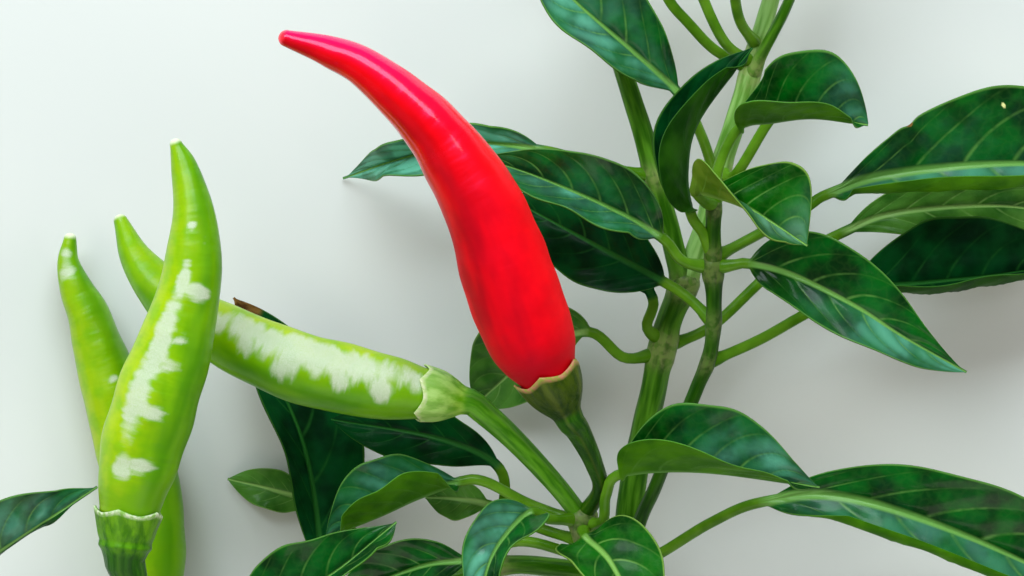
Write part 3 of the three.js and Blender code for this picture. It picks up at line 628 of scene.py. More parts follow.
def fruitMaterial(kind):
    look, colours = {**fruitLook["skin"], **fruitLook[kind]}, fruitColours[kind]
    material, tree, shader = newMaterial(kind + "_skin", look["surface"])
    grain = readAttribute(tree, "grain")[3]
    along, sun, pale, _ = readAttribute(tree, "mark")
    banded = stretched(tree, grain, 1.0, look["bandStretch"])
    drawn = stretched(tree, grain, look["shadedStretch"])
    # Painted light and shade: the sunny copy of the skin shows toward the sunny side, and the shaded
    # copy on the other side.
    shaded = mottled(tree, drawn, look["shadedScale"], *colours["shaded"])
    sunny = mottled(tree, grain, look["sunnyScale"], *colours["sunny"])
    # Painted highlight: toward the tip, on the sunny side, the skin takes the arch colour, a magenta
    # sheen on the ripe fruit and a lighter green on the green ones.
    towardArchSheen = ease(tree, along, *look["archSheenFade"])
    archSheenShare = calc(tree, "MULTIPLY", towardArchSheen, ease(tree, sun, *look["archSheenSide"]))
    # Pale patches, partly the skin's own speckled paleness and partly a painted reflection, have ragged
    # edges that run round the fruit, and are speckled.
    bands = maskOf(tree, banded, look["bandScale"], look["detail"])
    ragged = calc(tree, "SUBTRACT", pale, look["paleLoss"])
    ragged = calc(tree, "MULTIPLY_ADD", bands, look["raggedness"], ragged)
    speckle = maskOf(tree, grain, look["speckleScale"], look["detail"])
    speckled = fromTo(tree, speckle, *look["speckles"])
    patch = calc(tree, "MULTIPLY", ease(tree, ragged, *look["paleFade"]), speckled)
    speckleAndSheen = calc(tree, "MULTIPLY", patch, ease(tree, pale, *look["paleEdge"]))
    skin = layered(
        tree, shaded["Color"],
        (ease(tree, sun, *look["sunnyFade"]), sunny["Color"]),
        (archSheenShare, colours["archSheen"]),
        (ease(tree, along, *look["baseFade"]), colours["base"]),
        (speckleAndSheen, colours["pale"]),
        (ease(tree, along, *look["tipFade"]), colours["tip"]),
    )
    smooth = ease(tree, along, *look["roughFade"], *look["roughness"])
    rough = calc(tree, "MULTIPLY_ADD", speckle, look["speckleRoughness"], smooth)
    feed(tree, shader, {
        "Base Color": skin,
        "Roughness": calc(tree, "MULTIPLY_ADD", patch, look["paleRoughness"], rough),
        "Coat Weight": ease(tree, along, *look["coatFade"], *look["coat"]),
        "Normal": raised(tree, banded, *look["relief"]),
    })
    return material


def fruitSurface(name, material):
    # Radius = the line's own, times 1 plus three low lobes and a few seeded waves round and along.
    fruit = fruits[name]
    look = fruitLook[fruit["colour"]]
    angles = fruitLook["endAngles"]
    ends = len(angles)
    body = stations(fruit["body"], fruitLook["spacing"])
    foot = roundedEnd(*(part[0] for part in body), -fruitLook["baseDepth"], angles)
    tip = roundedEnd(*(part[-1] for part in body), fruit["tipDepth"], angles)
    centres, tangents, radius = joined([part[::-1] for part in foot], body, tip)
    lengths = runLength(centres)
    start, end = lengths[ends], lengths[-ends - 1]
    turn = turns(fruitLook["sides"])
    chance = np.random.default_rng(look["seed"] + list(fruits).index(name))
    lobed = fruitLook["lobes"] * turn[None] + fruitLook["lobeTwist"] * lengths[:, None]
    bumps = look["lobeHeight"] * np.cos(lobed)
    for wave in range(fruitLook["dentCount"]):
        around = chance.integers(*fruitLook["dentsRound"])
        period = chance.uniform(*fruitLook["dentPeriod"])
        phase = chance.uniform(0, 2 * np.pi, 2)
        swell = np.sin(2 * np.pi * lengths / period + phase[0])[:, None]
        bumps = bumps + look["dents"] * swell * np.cos(around * turn + phase[1])[None]
    baseFade, tipFade = fruitLook["fades"]
    fade = smoothStep(start, start + baseFade, lengths)
    fade = fade * (1 - smoothStep(end - tipFade, end, lengths))
    radii = radius[:, None] * (1 + bumps * fade[:, None])
    rings = ringsRound(centres, tangents, radii)
    along = np.clip((lengths - start) / (lengths[-1] - start), 0, 1)[:, None]
    # How far each point faces the sunny side, which the skin's colour uses for painted light and shade.
    sunny = unit(rings - centres[:, None])[..., :2] @ np.array(fruit["sunny"])
    degrees = (np.degrees(turn) + 180) % 360 - 180
    pale = np.zeros(radii.shape)
    for place, angle, halfLength, halfWidth in fruit.get("patches", []):
        reach = np.hypot((along - place) / halfLength, (degrees - angle)[None] / halfWidth)
        spread = 1 - smoothStep(*fruitLook["patchEdge"], reach)
        pale = np.maximum(pale, fruit["fullness"] * spread)
    marks = np.stack(np.broadcast_arrays(along, sunny, pale), -1)
    attributes = {"grain": grainRound(radii, lengths), "mark": marks}
    pieceFromRings(name + "_skin", name, rings, attributes, material)


# Fruit stalks: ribbed, swelling into a calyx whose rim has five low teeth round the fruit's base.
calyxLook = {
    "sides": 80,
    "spacing": 0.5,
    "gap": 0.3,             # between the fruit's base and the calyx's bottom
    "bulge": 0.16,          # how far the calyx's side stands out past its rim
    "rimGap": 0.10,         # between the fruit and the rim's inside
    "rimWall": 0.28,
    "rimCrown": 0.10,
    "teeth": 5,
    "toothReach": 1.0,
    "toothRoot": 0.5,
    "toothPower": 1.5,      # above 1 the rim dips in a curve between its teeth
    "lean": (0.0, 0.0, 0.0),        # turns the calyx's axis
    "neckLength": 1.5,
    "neckSwell": 1.3,       # the calyx's foot over the stalk
    # its share of the depth, and of the width gained
    "outline": [(1.0, 0.0), (0.8, 0.35), (0.45, 0.75)],
    "outlineSteps": 9,
    "bowlAngles": [12, 25, 38, 50, 62, 74, 85],
    "cupStart": (0.0, 0.35),        # shares of the outline over which the cup takes over
    "toothStart": (0.72, 1.0),      # and over which the teeth do
    "rimStart": (0.80, 0.99),       # shares of a tooth's own growth where the rim's colour starts
    "ribHeight": 0.03,
    "ribShape": (0.6, 0.4),         # of the broad rib under each tooth, and of the narrow ones
    "ribLoss": (0.3, 0.7),          # shares of the height that are lost on the stalk and the rim
    "neckRing": 0.08,       # millimetres that the ring where the calyx starts stands out
    "ringPlace": (0.2, 0.4),        # where it stands above that start, and its reach
    "groovePlace": (1.1, 0.45),     # and the groove above it, which is half as deep
    "surface": {"Specular IOR Level": 0.2, "Coat Weight": 0.08},
    "roughness": (0.34, 0.5),
    "relief": (1.4, 0.16, 0.05),
    "wrinkle": 0.45,        # how little the skin changes along the calyx
    "streak": 0.15,         # and along the stalk
    "skinScale": 0.9,
    "stalkScale": 1.3,
    "rimScale": 1.6,
    "detail": 4.0,
    "upperFade": (1.25, 2.0),       # of the third mark, toward the rim
    "upperShare": (0.35, 0.9),
    "crestHighlightShare": 0.12,     # of the rim's colour painted on the ribs' crests, as a painted highlight
}
calyxColours = {
    "olive": {
        "skin": (tint(18, 48, 0), tint(48, 72, 0)), "stalk": (tint(20, 64, 0), tint(48, 96, 2)),
        "upper": tint(62, 80, 0), "rim": (tint(140, 150, 60), tint(190, 128, 100)),
    },
    "dark": {
        "skin": (tint(36, 96, 0), tint(82, 142, 0)), "stalk": (tint(18, 70, 0), tint(44, 100, 4)),
        "upper": tint(104, 156, 16), "rim": (tint(136, 182, 84), tint(212, 220, 188)),
    },
    "fresh": {
        "skin": (tint(92, 152, 4), tint(144, 190, 60)),
        "stalk": (tint(52, 116, 2), tint(92, 156, 26)),
        "upper": tint(168, 204, 118), "rim": (tint(176, 206, 120), tint(208, 214, 170)),
    },
}


def calyxMaterial(tone):
    look, colours = calyxLook, calyxColours[tone]
    material, tree, shader = newMaterial(tone + "_calyx", look["surface"])
    grain = readAttribute(tree, "grain")[3]
    rim, crestHighlight, cup, _ = readAttribute(tree, "mark")
    wrinkles = stretched(tree, grain, look["wrinkle"])
    streaks = stretched(tree, grain, look["streak"])
    skin = mottled(tree, wrinkles, look["skinScale"], *colours["skin"], look["detail"])
    stalk = mottled(tree, streaks, look["stalkScale"], *colours["stalk"], look["detail"])
    # The third mark goes from 0 at the stalk to 1 on the cup and on to 2 at the rim.
    uneven = fromTo(tree, skin["Mask"], *look["upperShare"])
    nearRim = calc(tree, "MULTIPLY", ease(tree, cup, *look["upperFade"]), uneven)
    cupSkin = blendColour(tree, nearRim, skin["Color"], colours["upper"])
    edge = mottled(tree, grain, look["rimScale"], *colours["rim"])
    feed(tree, shader, {
        "Base Color": layered(
            tree, stalk["Color"],
            (ease(tree, cup, 0.0, 1.0), cupSkin),
            # A painted highlight on the ribs' crests.
            (calc(tree, "MULTIPLY", crestHighlight, look["crestHighlightShare"]), colours["rim"][0]),
            (rim, edge["Color"]),
        ),
        "Roughness": fromTo(tree, skin["Mask"], *look["roughness"]),
        "Normal": raised(tree, wrinkles, *look["relief"]),
    })
    return material


def fruitStalkSurface(name, material):
    # The stalk follows its line, and the calyx is an outline turned round the fruit's axis. Near the
    # rim every point moves on by the tooth's height at its angle, and out by the fruit's slope.
    fruit = fruits[name]
    look = {**calyxLook, **fruit["calyx"]}
    body = np.array(fruit["body"], float)
    centre, radius = body[0, :3], body[0, 3]
    axis = unit(wayAt(body[:, :3], np.zeros(1))[0] + look["lean"])
    slope = (body[1, 3] - radius) / np.linalg.norm(body[1, :3] - centre)
    inner = radius + look["rimGap"]
    outer = inner + look["rimWall"]
    stalkRadius = fruit["stalk"][-1][3]
    neck = look["neckSwell"] * stalkRadius
    foot = (-look["cup"] - look["neckLength"], (stalkRadius + neck) / 2)
    line = rooted([*fruit["stalk"], [*(centre + axis * foot[0]), foot[1]]])[0]
    stalk = [part[:-1] for part in stations(line, look["spacing"])]
    gained = outer + look["bulge"] - neck
    sides = [(-depth * look["cup"], neck + gained * share) for depth, share in look["outline"]]
    outline = [foot, *sides, (-look["toothRoot"], outer)]
    cupPlace = np.linspace(0, 1, look["outlineSteps"] * (len(outline) - 1) + 1)
    cup = curveAt(outline, cupPlace)
    # A ring stands out where the calyx starts, with a shallow groove above it.
    height = cup[:, 0] + look["cup"]
    standing = hump(height, *look["ringPlace"]) - 0.5 * hump(height, *look["groovePlace"])
    cup[:, 1] += look["neckRing"] * standing
    root = look["toothRoot"]
    rimTop = [(look["rimCrown"] - root, (outer + inner) / 2), (-root, inner)]
    turn = np.radians(look["bowlAngles"])
    depth = (fruitLook["baseDepth"] + look["gap"]) * np.sin(turn) + root * np.cos(turn)
    bowl = np.stack([-depth, inner * np.cos(turn)], -1)
    profile = np.concatenate([cup, rimTop, bowl])
    calyx = (centre + profile[:, :1] * axis, repeated(axis, len(profile)), profile[:, 1])
    centres, tangents, radii = joined(stalk, calyx)

    def byPart(*values):
        # A number for each ring of the stalk, the calyx's outside, its rim and its inside.
        counts = (len(stalk[0]), len(cup), len(rimTop), len(bowl))
        return np.concatenate([np.broadcast_to(value, n) for value, n in zip(values, counts)])

    onCup = byPart(0, smoothStep(*look["cupStart"], cupPlace), 1, 1)
    towardRim = onCup + byPart(0, cupPlace, 1, 1)
    toothed = byPart(0, smoothStep(*look["toothStart"], cupPlace), 1, 0)
    outside = byPart(1, 1, 0, 0)
    part = look["teeth"] * turns(look["sides"]) / (2 * np.pi)
    tooth = (1 - 2 * np.abs((part % 1) - 0.5)) ** look["toothPower"]
    broad, narrow = look["ribShape"]
    onStalk, onRim = look["ribLoss"]
    rib = np.cos(2 * np.pi * (part - 0.5)) * broad + np.cos(4 * np.pi * (part - 0.5)) * narrow
    strength = look["ribHeight"] * outside * (1 - onStalk * (1 - onCup)) * (1 - onRim * toothed)
    radii = radii[:, None] * (1 + strength[:, None] * rib)
    reach = toothed[:, None] * tooth * look["toothReach"]
    rings = ringsRound(centres, tangents, radii + slope * reach, reach)
    # The ribs' crests are painted paler: a painted highlight.
    crestHighlight = np.clip(rib, 0, 1) ** 2 * outside[:, None]
    rim = smoothStep(*look["rimStart"], toothed)[:, None]
    marks = np.stack(np.broadcast_arrays(rim, crestHighlight, towardRim[:, None]), -1)
    attributes = {"grain": grainRound(radii, runLength(centres)), "mark": marks}
    node = name + "_stalk"
    pieceFromRings(node + "_calyx", node, rings, attributes, material)


# Leaves: one thin blade each, folded or flat, domed between sunken veins, with its own stalk. The
# line runs up the stalk and on along the rib to the tip, and the blade starts at point number
# blade. Both, left and right say how a half blade differs from side in leafLook. A mark is where
# a blade is brown or pale: how far along it, how far across to the left, its radius, and 1 for
# brown or -1 for pale yellow. Rib makes the pale rib's line that many times wider.
leaves = {
    "leaf_crown_right": {
        "colour": "leaf", "blade": 2,
        "line": [[28.6, 12.0, 30.0], [29.0, 17.2, 31.0], [31.9, 22.5, 32.0], [36.5, 23.4, 33.0],
                 [42.4, 23.9, 34.0], [49.8, 22.8, 34.0]],
        "left": {"half": 10.0, "slope": (10, 20), "base": 0.9, "end": 0.8, "paintedSheen": 0.8,
                 "sheenStart": 0.65},
        "right": {"half": 8.6, "slope": (100, 120), "base": 0.6, "end": 1.4, "growth": 1.4,
                  "lobe": 6.0},
    },
    "leaf_crown_front": {
        "colour": "youngLeaf", "blade": 2,
        "line": [[28.3, 11.6, 30.5], [26.6, 12.4, 32.6], [26.0, 13.6, 35.4], [31.2, 12.0, 37.5],
                 [36.1, 9.2, 39.0], [41.2, 5.9, 40.0]],
        "left": {"half": 9.2, "slope": (5, 15), "base": 1.8, "end": 1.2, "lobe": -6.0, "paintedSheen": 0.9,
                 "sheenStart": 0.8},
        "right": {"half": 8.2, "slope": (116, 150), "base": 0.5, "end": 1.3, "growth": 1.6,
                  "lobe": 9.0, "unfold": 0.62, "paintedSheen": 0.6},
    },
    "leaf_crown_left": {
        "colour": "darkLeaf", "blade": 2,
        "line": [[28.6, 4.6, 27.5], [26.7, 7.7, 29.5], [25.0, 10.5, 31.0], [24.3, 16.5, 32.5],
                 [26.0, 23.5, 33.5], [33.6, 33.6, 31.5]],
        "left": {"half": 5.5, "slope": (15, 35), "base": 0.8},
        "right": {"half": 7.0, "slope": (105, 140), "base": 0.6, "end": 1.4, "growth": 1.6},
    },
    "leaf_crown_back": {
        "colour": "darkLeaf", "blade": 2, "both": {"half": 3.0},
        "line": [[29.2, 16.5, 13.0], [31.4, 15.9, 16.5], [36.3, 23.7, 20.0], [40.0, 27.0, 22.0],
                 [45.6, 29.5, 23.0]],
    },
    "leaf_top_broad": {
        "colour": "leaf", "blade": 2,
        "line": [[28.8, 15.1, 13.0], [26.6, 21.5, 17.0], [23.4, 27.3, 21.0], [17.6, 32.6, 23.5],
                 [8.7, 40.3, 25.5], [1.1, 48.0, 25.0]],
        "left": {"half": 5.6, "slope": (30, 55), "paintedSheen": 0.9},
        "right": {"half": 7.5, "slope": (10, 15), "paintedSheen": 0.25},
    },
    "leaf_top_pale": {
        "colour": "paleLeaf", "blade": 3, "both": {"half": 5.0},
        "line": [[33.4, 31.0, 12.2], [28.7, 33.4, 13.8], [24.9, 37.2, 15.0], [21.8, 41.0, 16.0],
                 [20.0, 47.0, 17.0], [18.5, 57.0, 16.0]],
    },
    "leaf_top_middle": {
        "colour": "leaf", "blade": 3, "both": {"half": 4.0},
        "line": [[33.3, 31.9, 13.6], [30.0, 34.4, 17.5], [27.0, 40.3, 20.5], [26.0, 44.0, 22.0],
                 [25.5, 50.0, 23.5], [27.0, 58.0, 23.0]],
    },
    "leaf_top_right": {
        "colour": "leaf", "blade": 3, "left": {"half": 3.5}, "right": {"half": 4.5},
        "line": [[34.3, 34.2, 13.2], [32.2, 37.2, 17.5], [31.3, 41.0, 21.0], [31.6, 43.8, 23.0],
                 [33.5, 49.0, 25.0], [38.0, 57.0, 25.0]],
    },
    "leaf_left_front": {
        "colour": "leaf", "blade": 2,
        "line": [[27.8, 3.0, 26.6], [23.9, 3.8, 28.0], [20.8, 7.2, 29.0], [12.9, 11.5, 30.0],
                 [3.1, 15.7, 30.5], [-4.8, 18.3, 29.5]],
        "left": {"half": 6.0, "slope": (50, 70), "base": 0.9, "paintedSheen": 0.9},
        "right": {"half": 6.5, "base": 0.6, "end": 1.1, "paintedSheen": 0.12},
    },
    "leaf_left_back": {
        "colour": "leaf", "blade": 2,
        "both": {"half": 5.0, "slope": (45, 65), "end": 1.5, "paintedSheen": 2.4},
        "line": [[19.8, 15.6, 15.0], [12.3, 17.2, 17.0], [4.6, 19.3, 18.5], [-5.9, 20.4, 17.0],
                 [-15.7, 18.2, 10.0], [-23.9, 15.5, 0.6]],
    },
    "leaf_left_dark": {
        "colour": "darkLeaf", "blade": 2, "both": {"half": 6.0, "slope": (5, 15), "base": 0.8},
        "line": [[28.0, -5.0, 25.0], [25.1, -1.7, 23.5], [21.4, 0.8, 22.5], [12.3, 5.7, 21.0],
                 [-1.0, 13.0, 19.0]],
    },
    "leaf_left_pale": {
        "colour": "paleLeaf", "blade": 2, "left": {"half": 5.0}, "right": {"half": 8.5, "base": 0.6},
        "line": [[20.6, -9.2, 12.0], [15.8, -9.8, 13.0], [10.9, -6.2, 13.0], [3.9, -8.7, 10.0],
                 [-5.5, -16.8, 1.0]],
    },
    "leaf_left_small": {
        "colour": "darkLeaf", "blade": 2, "both": {"half": 3.0},
        "line": [[21.0, -7.5, 12.5], [19.0, -5.5, 14.5], [19.8, -1.5, 16.5], [16.0, 3.5, 17.5],
                 [8.5, 8.0, 16.0]],
    },
    "leaf_withered_tip": {
        "colour": "darkLeaf", "blade": 2, "marks": [(1.0, 0.0, 6.0, 1)],
        "line": [[-26.6, -50.2, 12.8], [-27.0, -45.5, 10.5], [-27.2, -42.3, 8.5], [-27.2, -35.3, 6.5],
                 [-29.7, -21.3, 5.5], [-36.0, -7.3, 7.0], [-39.2, -1.4, 9.0]],
        "left": {"half": 4.2, "slope": (30, 50)},
        "right": {"half": 8.5, "slope": (3, 8)},
    },
    "leaf_low_back": {
        "colour": "darkLeaf", "blade": 2, "both": {"half": 4.5},
        "line": [[-2.0, -39.2, 11.0], [-1.5, -33.0, 12.0], [-1.7, -25.5, 13.0], [-10.0, -21.3, 13.0],
                 [-25.5, -18.5, 10.5]],
    },
    "leaf_low_folded": {
        "colour": "leaf", "blade": 3,
        "line": [[8.9, -32.8, 20.6], [2.4, -30.3, 20.4], [-3.8, -27.2, 20.5], [-7.3, -27.2, 20.5],
                 [-13.2, -29.3, 21.0], [-18.5, -31.8, 21.5], [-26.2, -35.0, 21.0]],
        "left": {"half": 6.5, "slope": (110, 140), "base": 0.8},
        "right": {"half": 8.0, "slope": (5, 20), "paintedSheen": 0.8},
    },
    "leaf_low_pale": {
        "colour": "paleLeaf", "blade": 2, "both": {"half": 3.0},
        "line": [[-15.7, -43.2, 11.0], [-20.0, -37.0, 3.6], [-27.0, -31.0, 2.0], [-34.0, -28.5, 1.6],
                 [-40.2, -27.0, 0.8]],
    },
    "leaf_low_small": {
        "colour": "paleLeaf", "blade": 2, "both": {"half": 3.0},
        "line": [[10.4, -35.5, 19.5], [4.0, -33.8, 17.0], [-3.1, -30.6, 15.5], [-8.0, -29.7, 15.0],
                 [-12.2, -29.5, 14.0]],
    },
    "leaf_low_flat": {
        "colour": "leaf", "blade": 2, "both": {"half": 5.0},
        "line": [[10.9, -38.1, 18.0], [1.3, -35.6, 18.0], [-5.9, -38.1, 18.0], [-12.9, -39.2, 18.5],
                 [-24.8, -43.7, 17.0]],
        "left": {"slope": (30, 60)},
        "right": {"slope": (15, 30)},
    },
    "leaf_foot_right": {
        "colour": "youngLeaf", "blade": 1,
        "line": [[9.8, -34.0, 22.2], [10.4, -35.0, 26.0], [13.6, -38.2, 30.0], [16.8, -44.7, 31.5],
                 [19.4, -53.5, 28.0]],
        "left": {"half": 7.2, "slope": (0, 15), "base": 0.5, "end": 1.3, "paintedSheen": 0.05},
        "right": {"half": 5.8, "slope": (25, 50), "base": 0.25, "end": 1.2, "lobe": 5.0},
    },
    "leaf_foot_left": {
        "colour": "leaf", "blade": 2,
        "line": [[8.4, -33.2, 22.6], [5.3, -32.4, 25.8], [2.6, -31.4, 27.8], [-1.4, -35.4, 31.0],
                 [-3.6, -40.0, 33.0], [-5.4, -48.6, 31.0]],
        "left": {"half": 5.5, "slope": (50, 70), "base": 0.3, "end": 1.3, "lobe": 4.0},
        "right": {"half": 5.2, "slope": (0, 25), "base": 0.5, "end": 1.4, "paintedSheen": 1.1},
    },
    "leaf_foot_outer": {
        "colour": "leaf", "blade": 2,
        "line": [[-38.5, -55.6, 13.5], [-41.0, -52.0, 19.0], [-40.0, -48.5, 23.0],
                 [-33.0, -44.5, 26.0], [-25.0, -40.0, 27.5], [-16.2, -32.8, 27.0]],
        "left": {"half": 7.0, "slope": (5, 20), "end": 1.3},
        "right": {"slope": (65, 85)},
    },
    "leaf_right_broad": {
        "colour": "leaf", "blade": 3, "rib": 1.7,
        "line": [[29.0, 4.7, 26.2], [35.4, 8.0, 24.5], [41.3, 11.3, 22.0], [44.4, 13.2, 21.5],
                 [53.5, 16.0, 21.5], [71.7, 17.5, 19.0], [89.3, 15.4, 14.0]],
        "left": {"half": 11.2, "slope": (5, 15), "base": 1.5, "end": 1.2, "paintedSheen": 0.1},
        "right": {"half": 10.0, "slope": (5, 150), "base": 0.9, "end": 1.2, "paintedSheen": 0.5},
        "marks": [(0.27, 6.9, 0.8, 1), (0.54, 8.2, 0.4, -1)],
    },
    "leaf_right_low": {
        "colour": "paleLeaf", "blade": 3, "both": {"half": 5.0},
        "line": [[21.3, -8.6, 11.4], [28.4, -5.2, 10.0], [37.0, 2.5, 8.5], [46.6, 7.8, 8.0],
                 [54.3, 10.6, 8.0], [68.3, 11.6, 4.5], [79.5, 10.2, 0.6]],
    },
    "leaf_right_dark": {
        "colour": "darkLeaf", "blade": 3, "both": {"base": 0.9},
        "line": [[27.4, -10.5, 23.4], [34.7, -7.3, 20.0], [41.0, -3.8, 16.5], [47.5, -0.4, 14.5],
                 [58.5, 0.7, 13.5], [68.3, 1.8, 12.0], [79.5, 3.6, 9.0]],
        "left": {"half": 9.2, "slope": (0, 10)},
        "right": {"half": 8.0, "slope": (45, 130)},
    },
    "leaf_right_front": {
        "colour": "leaf", "blade": 2, "both": {"base": 0.6},
        "line": [[28.8, 2.8, 27.4], [30.9, 3.2, 28.1], [33.2, 3.4, 28.4], [39.2, 1.8, 29.5],
                 [48.0, -2.5, 30.0], [54.9, -6.9, 29.0], [63.7, -11.8, 27.0]],
        "left": {"half": 7.2, "slope": (5, 15), "end": 1.4},
        "right": {"half": 5.2, "slope": (15, 40), "end": 0.9, "paintedSheen": 0.85, "sheenStart": 0.35},
    },
    "leaf_right_foot": {
        "colour": "leaf", "blade": 3, "rib": 1.7, "both": {"half": 8.5},
        "line": [[16.3, -39.0, 5.8], [20.3, -37.7, 10.0], [28.0, -33.0, 15.5], [35.0, -30.1, 19.0],
                 [46.1, -29.3, 21.0], [63.3, -34.6, 20.0], [86.5, -45.4, 14.0]],
        "left": {"slope": (10, 20), "base": 1.3},
        "right": {"slope": (10, 170), "curl": 2, "base": 0.9, "growth": 6, "paintedSheen": 0.36},
    },
    "leaf_middle": {
        "colour": "leaf", "blade": 3,
        "line": [[11.2, -33.8, 22.8], [12.7, -32.7, 25.4], [13.2, -29.0, 27.8], [15.4, -26.0, 30.0],
                 [26.3, -25.5, 31.5], [43.1, -27.9, 29.5]],
        "left": {"half": 10.0, "slope": (5, 20), "base": 0.7, "end": 1.2, "paintedSheen": 1.0,
                 "sheenStart": 0.4},
        "right": {"half": 8.0, "slope": (110, 140), "base": 0.5, "end": 1.4, "growth": 1.6,
                  "lobe": 5.0, "unfold": 0.25},
    },
    "leaf_outer_left": {
        "colour": "leaf", "blade": 2,
        "line": [[-80.5, -51.9, 14.0], [-82.8, -48.0, 18.0], [-81.3, -43.6, 21.0],
                 [-70.0, -35.7, 23.5], [-58.2, -27.9, 22.5]],
        "left": {"half": 7.0, "slope": (20, 40), "end": 1.3, "paintedSheen": 0.9, "sheenStart": 0.3},
        "right": {"half": 2.6, "slope": (-75, -88), "end": 2.2, "growth": 0.8},
    },
    "leaf_outer_end": {
        "colour": "youngLeaf", "blade": 1, "both": {"half": 3.0},
        "line": [[-82.5, -50.9, 14.0], [-86.0, -52.2, 11.5], [-90.0, -54.5, 6.0], [-93.0, -57.0, 0.8]],
    },
    "leaf_end_right": {
        "colour": "youngLeaf", "blade": 1, "both": {"half": 3.5},
        "line": [[38.0, 46.8, 12.0], [37.4, 50.0, 10.5], [35.5, 56.5, 6.5], [33.0, 62.0, 0.8]],
    },
    "leaf_end_left": {
        "colour": "youngLeaf", "blade": 1, "both": {"half": 3.5},
        "line": [[11.0, 48.2, 15.0], [9.5, 51.5, 12.5], [5.0, 57.0, 7.0], [0.5, 61.0, 0.8]],
    },
    "leaf_end_side": {
        "colour": "youngLeaf", "blade": 1, "both": {"half": 3.5},
        "line": [[41.8, 48.2, 18.0], [44.0, 51.5, 19.5], [48.0, 56.0, 20.5], [54.0, 60.0, 19.0]],
    },
}
leafLook = {
    "side": {
        "half": 6,          # width in millimetres
        "slope": (10, 25),  # degrees at the rib and at the margin; past 90 the underside shows
        "curl": 1,          # above 1 the slope turns later
        "base": 1.1,        # how slowly it widens from the stalk
        "end": 1.0,         # and how slowly it narrows to the tip
        "growth": 3,        # it is folded fully where it is wider than the rib by this
        "unfold": 0.0,      # share of the slope that is lost at the tip
        "lobe": 0.0,        # how far the shoulder reaches back along the stalk
        "paintedSheen": 0.03,      # how much painted bluish sheen, a painted reflection, lies on it
        "sheenStart": 0.0,  # and where along it that begins
    },
    "stalkRadius": 0.75,
    "ribTaper": 0.75,
    "ribDepth": 0.7,        # share of the stalk's radius that the rib stands out underneath
    "thickness": 0.36,
    "marginThinning": 0.4,
    "baseSpread": 2.0,
    "cells": 18,            # across half a blade
    "linePoints": 1001,
    "seed": 100,
    "stalkSpacing": 0.8,
    "bladeSpacing": 0.32,
    "stations": (40, 116),  # along a blade, at least and at most
    "slopeSteps": 48,
    "groove": 0.128,        # depth of the channel over the rib, in millimetres
    "unfolding": (0.05, 0.9),       # shares of the blade over which a half unfolds
    "veins": 6.5,           # side veins on each half
    "veinOffset": 0.25,     # of the way to the next vein, one way on the left and back on the right
    "veinSlant": 0.30,      # how far along the blade a side vein runs on its way to the margin
    "quilt": 0.40,          # height of the domes between the side veins
    "waviness": 0.45,       # how far the margin waves up and down
    "waves": 2.3,
    "ripple": 0.018,        # share of the width that the outline waves in and out
    "rippleWaves": (11, 25),        # radians along the blade of its broad and fine waves
    "fineRipple": 0.6,      # height of the fine waves over the broad ones
    "nick": 0.09,           # share of the width that is missing at a brown mark
    "grown": (0.0, 0.06),   # shares of the blade over which the stalk flattens into it
    "domeEdge": 0.25,       # share of the half blade over which a dome rises beside the rib
    "domeFull": 8.0,        # half width in millimetres from which the domes have all their height
    "grooveReach": 0.4,
    "ribReach": 0.85,       # of the rib underneath, over the stalk's radius
    "markEdge": (0.4, 1.0),         # of a brown or pale mark, over its radius
    "surface": {"Specular IOR Level": 0.08, "Coat Roughness": 0.17},
    "roughness": (0.55, 0.42),      # of the underside and of the top
    "relief": (0.9, 0.10, 0.01),
    "veinDepth": 0.08,
    "ribWidth": (0.55, 0.14),       # millimetres from the pale rib's middle, from base to tip
    "ribEdge": (0.4, 1.2),          # from where to where that width is soft
    "veinWidth": 0.09,              # share of the way from one side vein to the next
    "veinShare": (0.1, 1.0, 0.52, 0.10),    # across the half blade, and of the vein's colour
    # Patches of noise leave so much of the side veins and of the painted sheen.
    "breakScale": 0.4, "breakShare": (0.35, 1.0),
    "sheenScale": 0.16, "sheenDetail": 3.0, "sheenShare": (0.25, 1.0),
    "sheenRise": (-0.2, 0.4),       # before and after where it begins along the blade
    "sheenLow": 0.35,               # share of it that lies between the domes
    "sheenLoss": 0.8,               # share of it that is lost at the margin
    # The net's line, from where to where and how strong, and the noise that pushes its cells by
    # so many millimetres.
    "net": {"Scale": 0.62}, "netEdge": (0.0, 0.20, 0.03, 0.0),
    "push": {"Scale": 0.8, "Detail": 3.0}, "pushed": 1.6,
    # Where a colour starts and ends across or along the blade, and from how little to how much.
    "margin": (0.955, 0.995, 0.0, 0.60), "stalkEnd": (-0.02, 0.04, 1.0, 0.0),
    "greenScale": 0.22, "underScale": 0.24, "underVeins": 0.55,
    "brownScale": 0.5, "brownDetail": 4.0, "brownFade": (0.2, 0.7), "spotFade": (0.3, 0.6),
    "topEdge": (0.3, 0.7),          # from the underside to the top
}
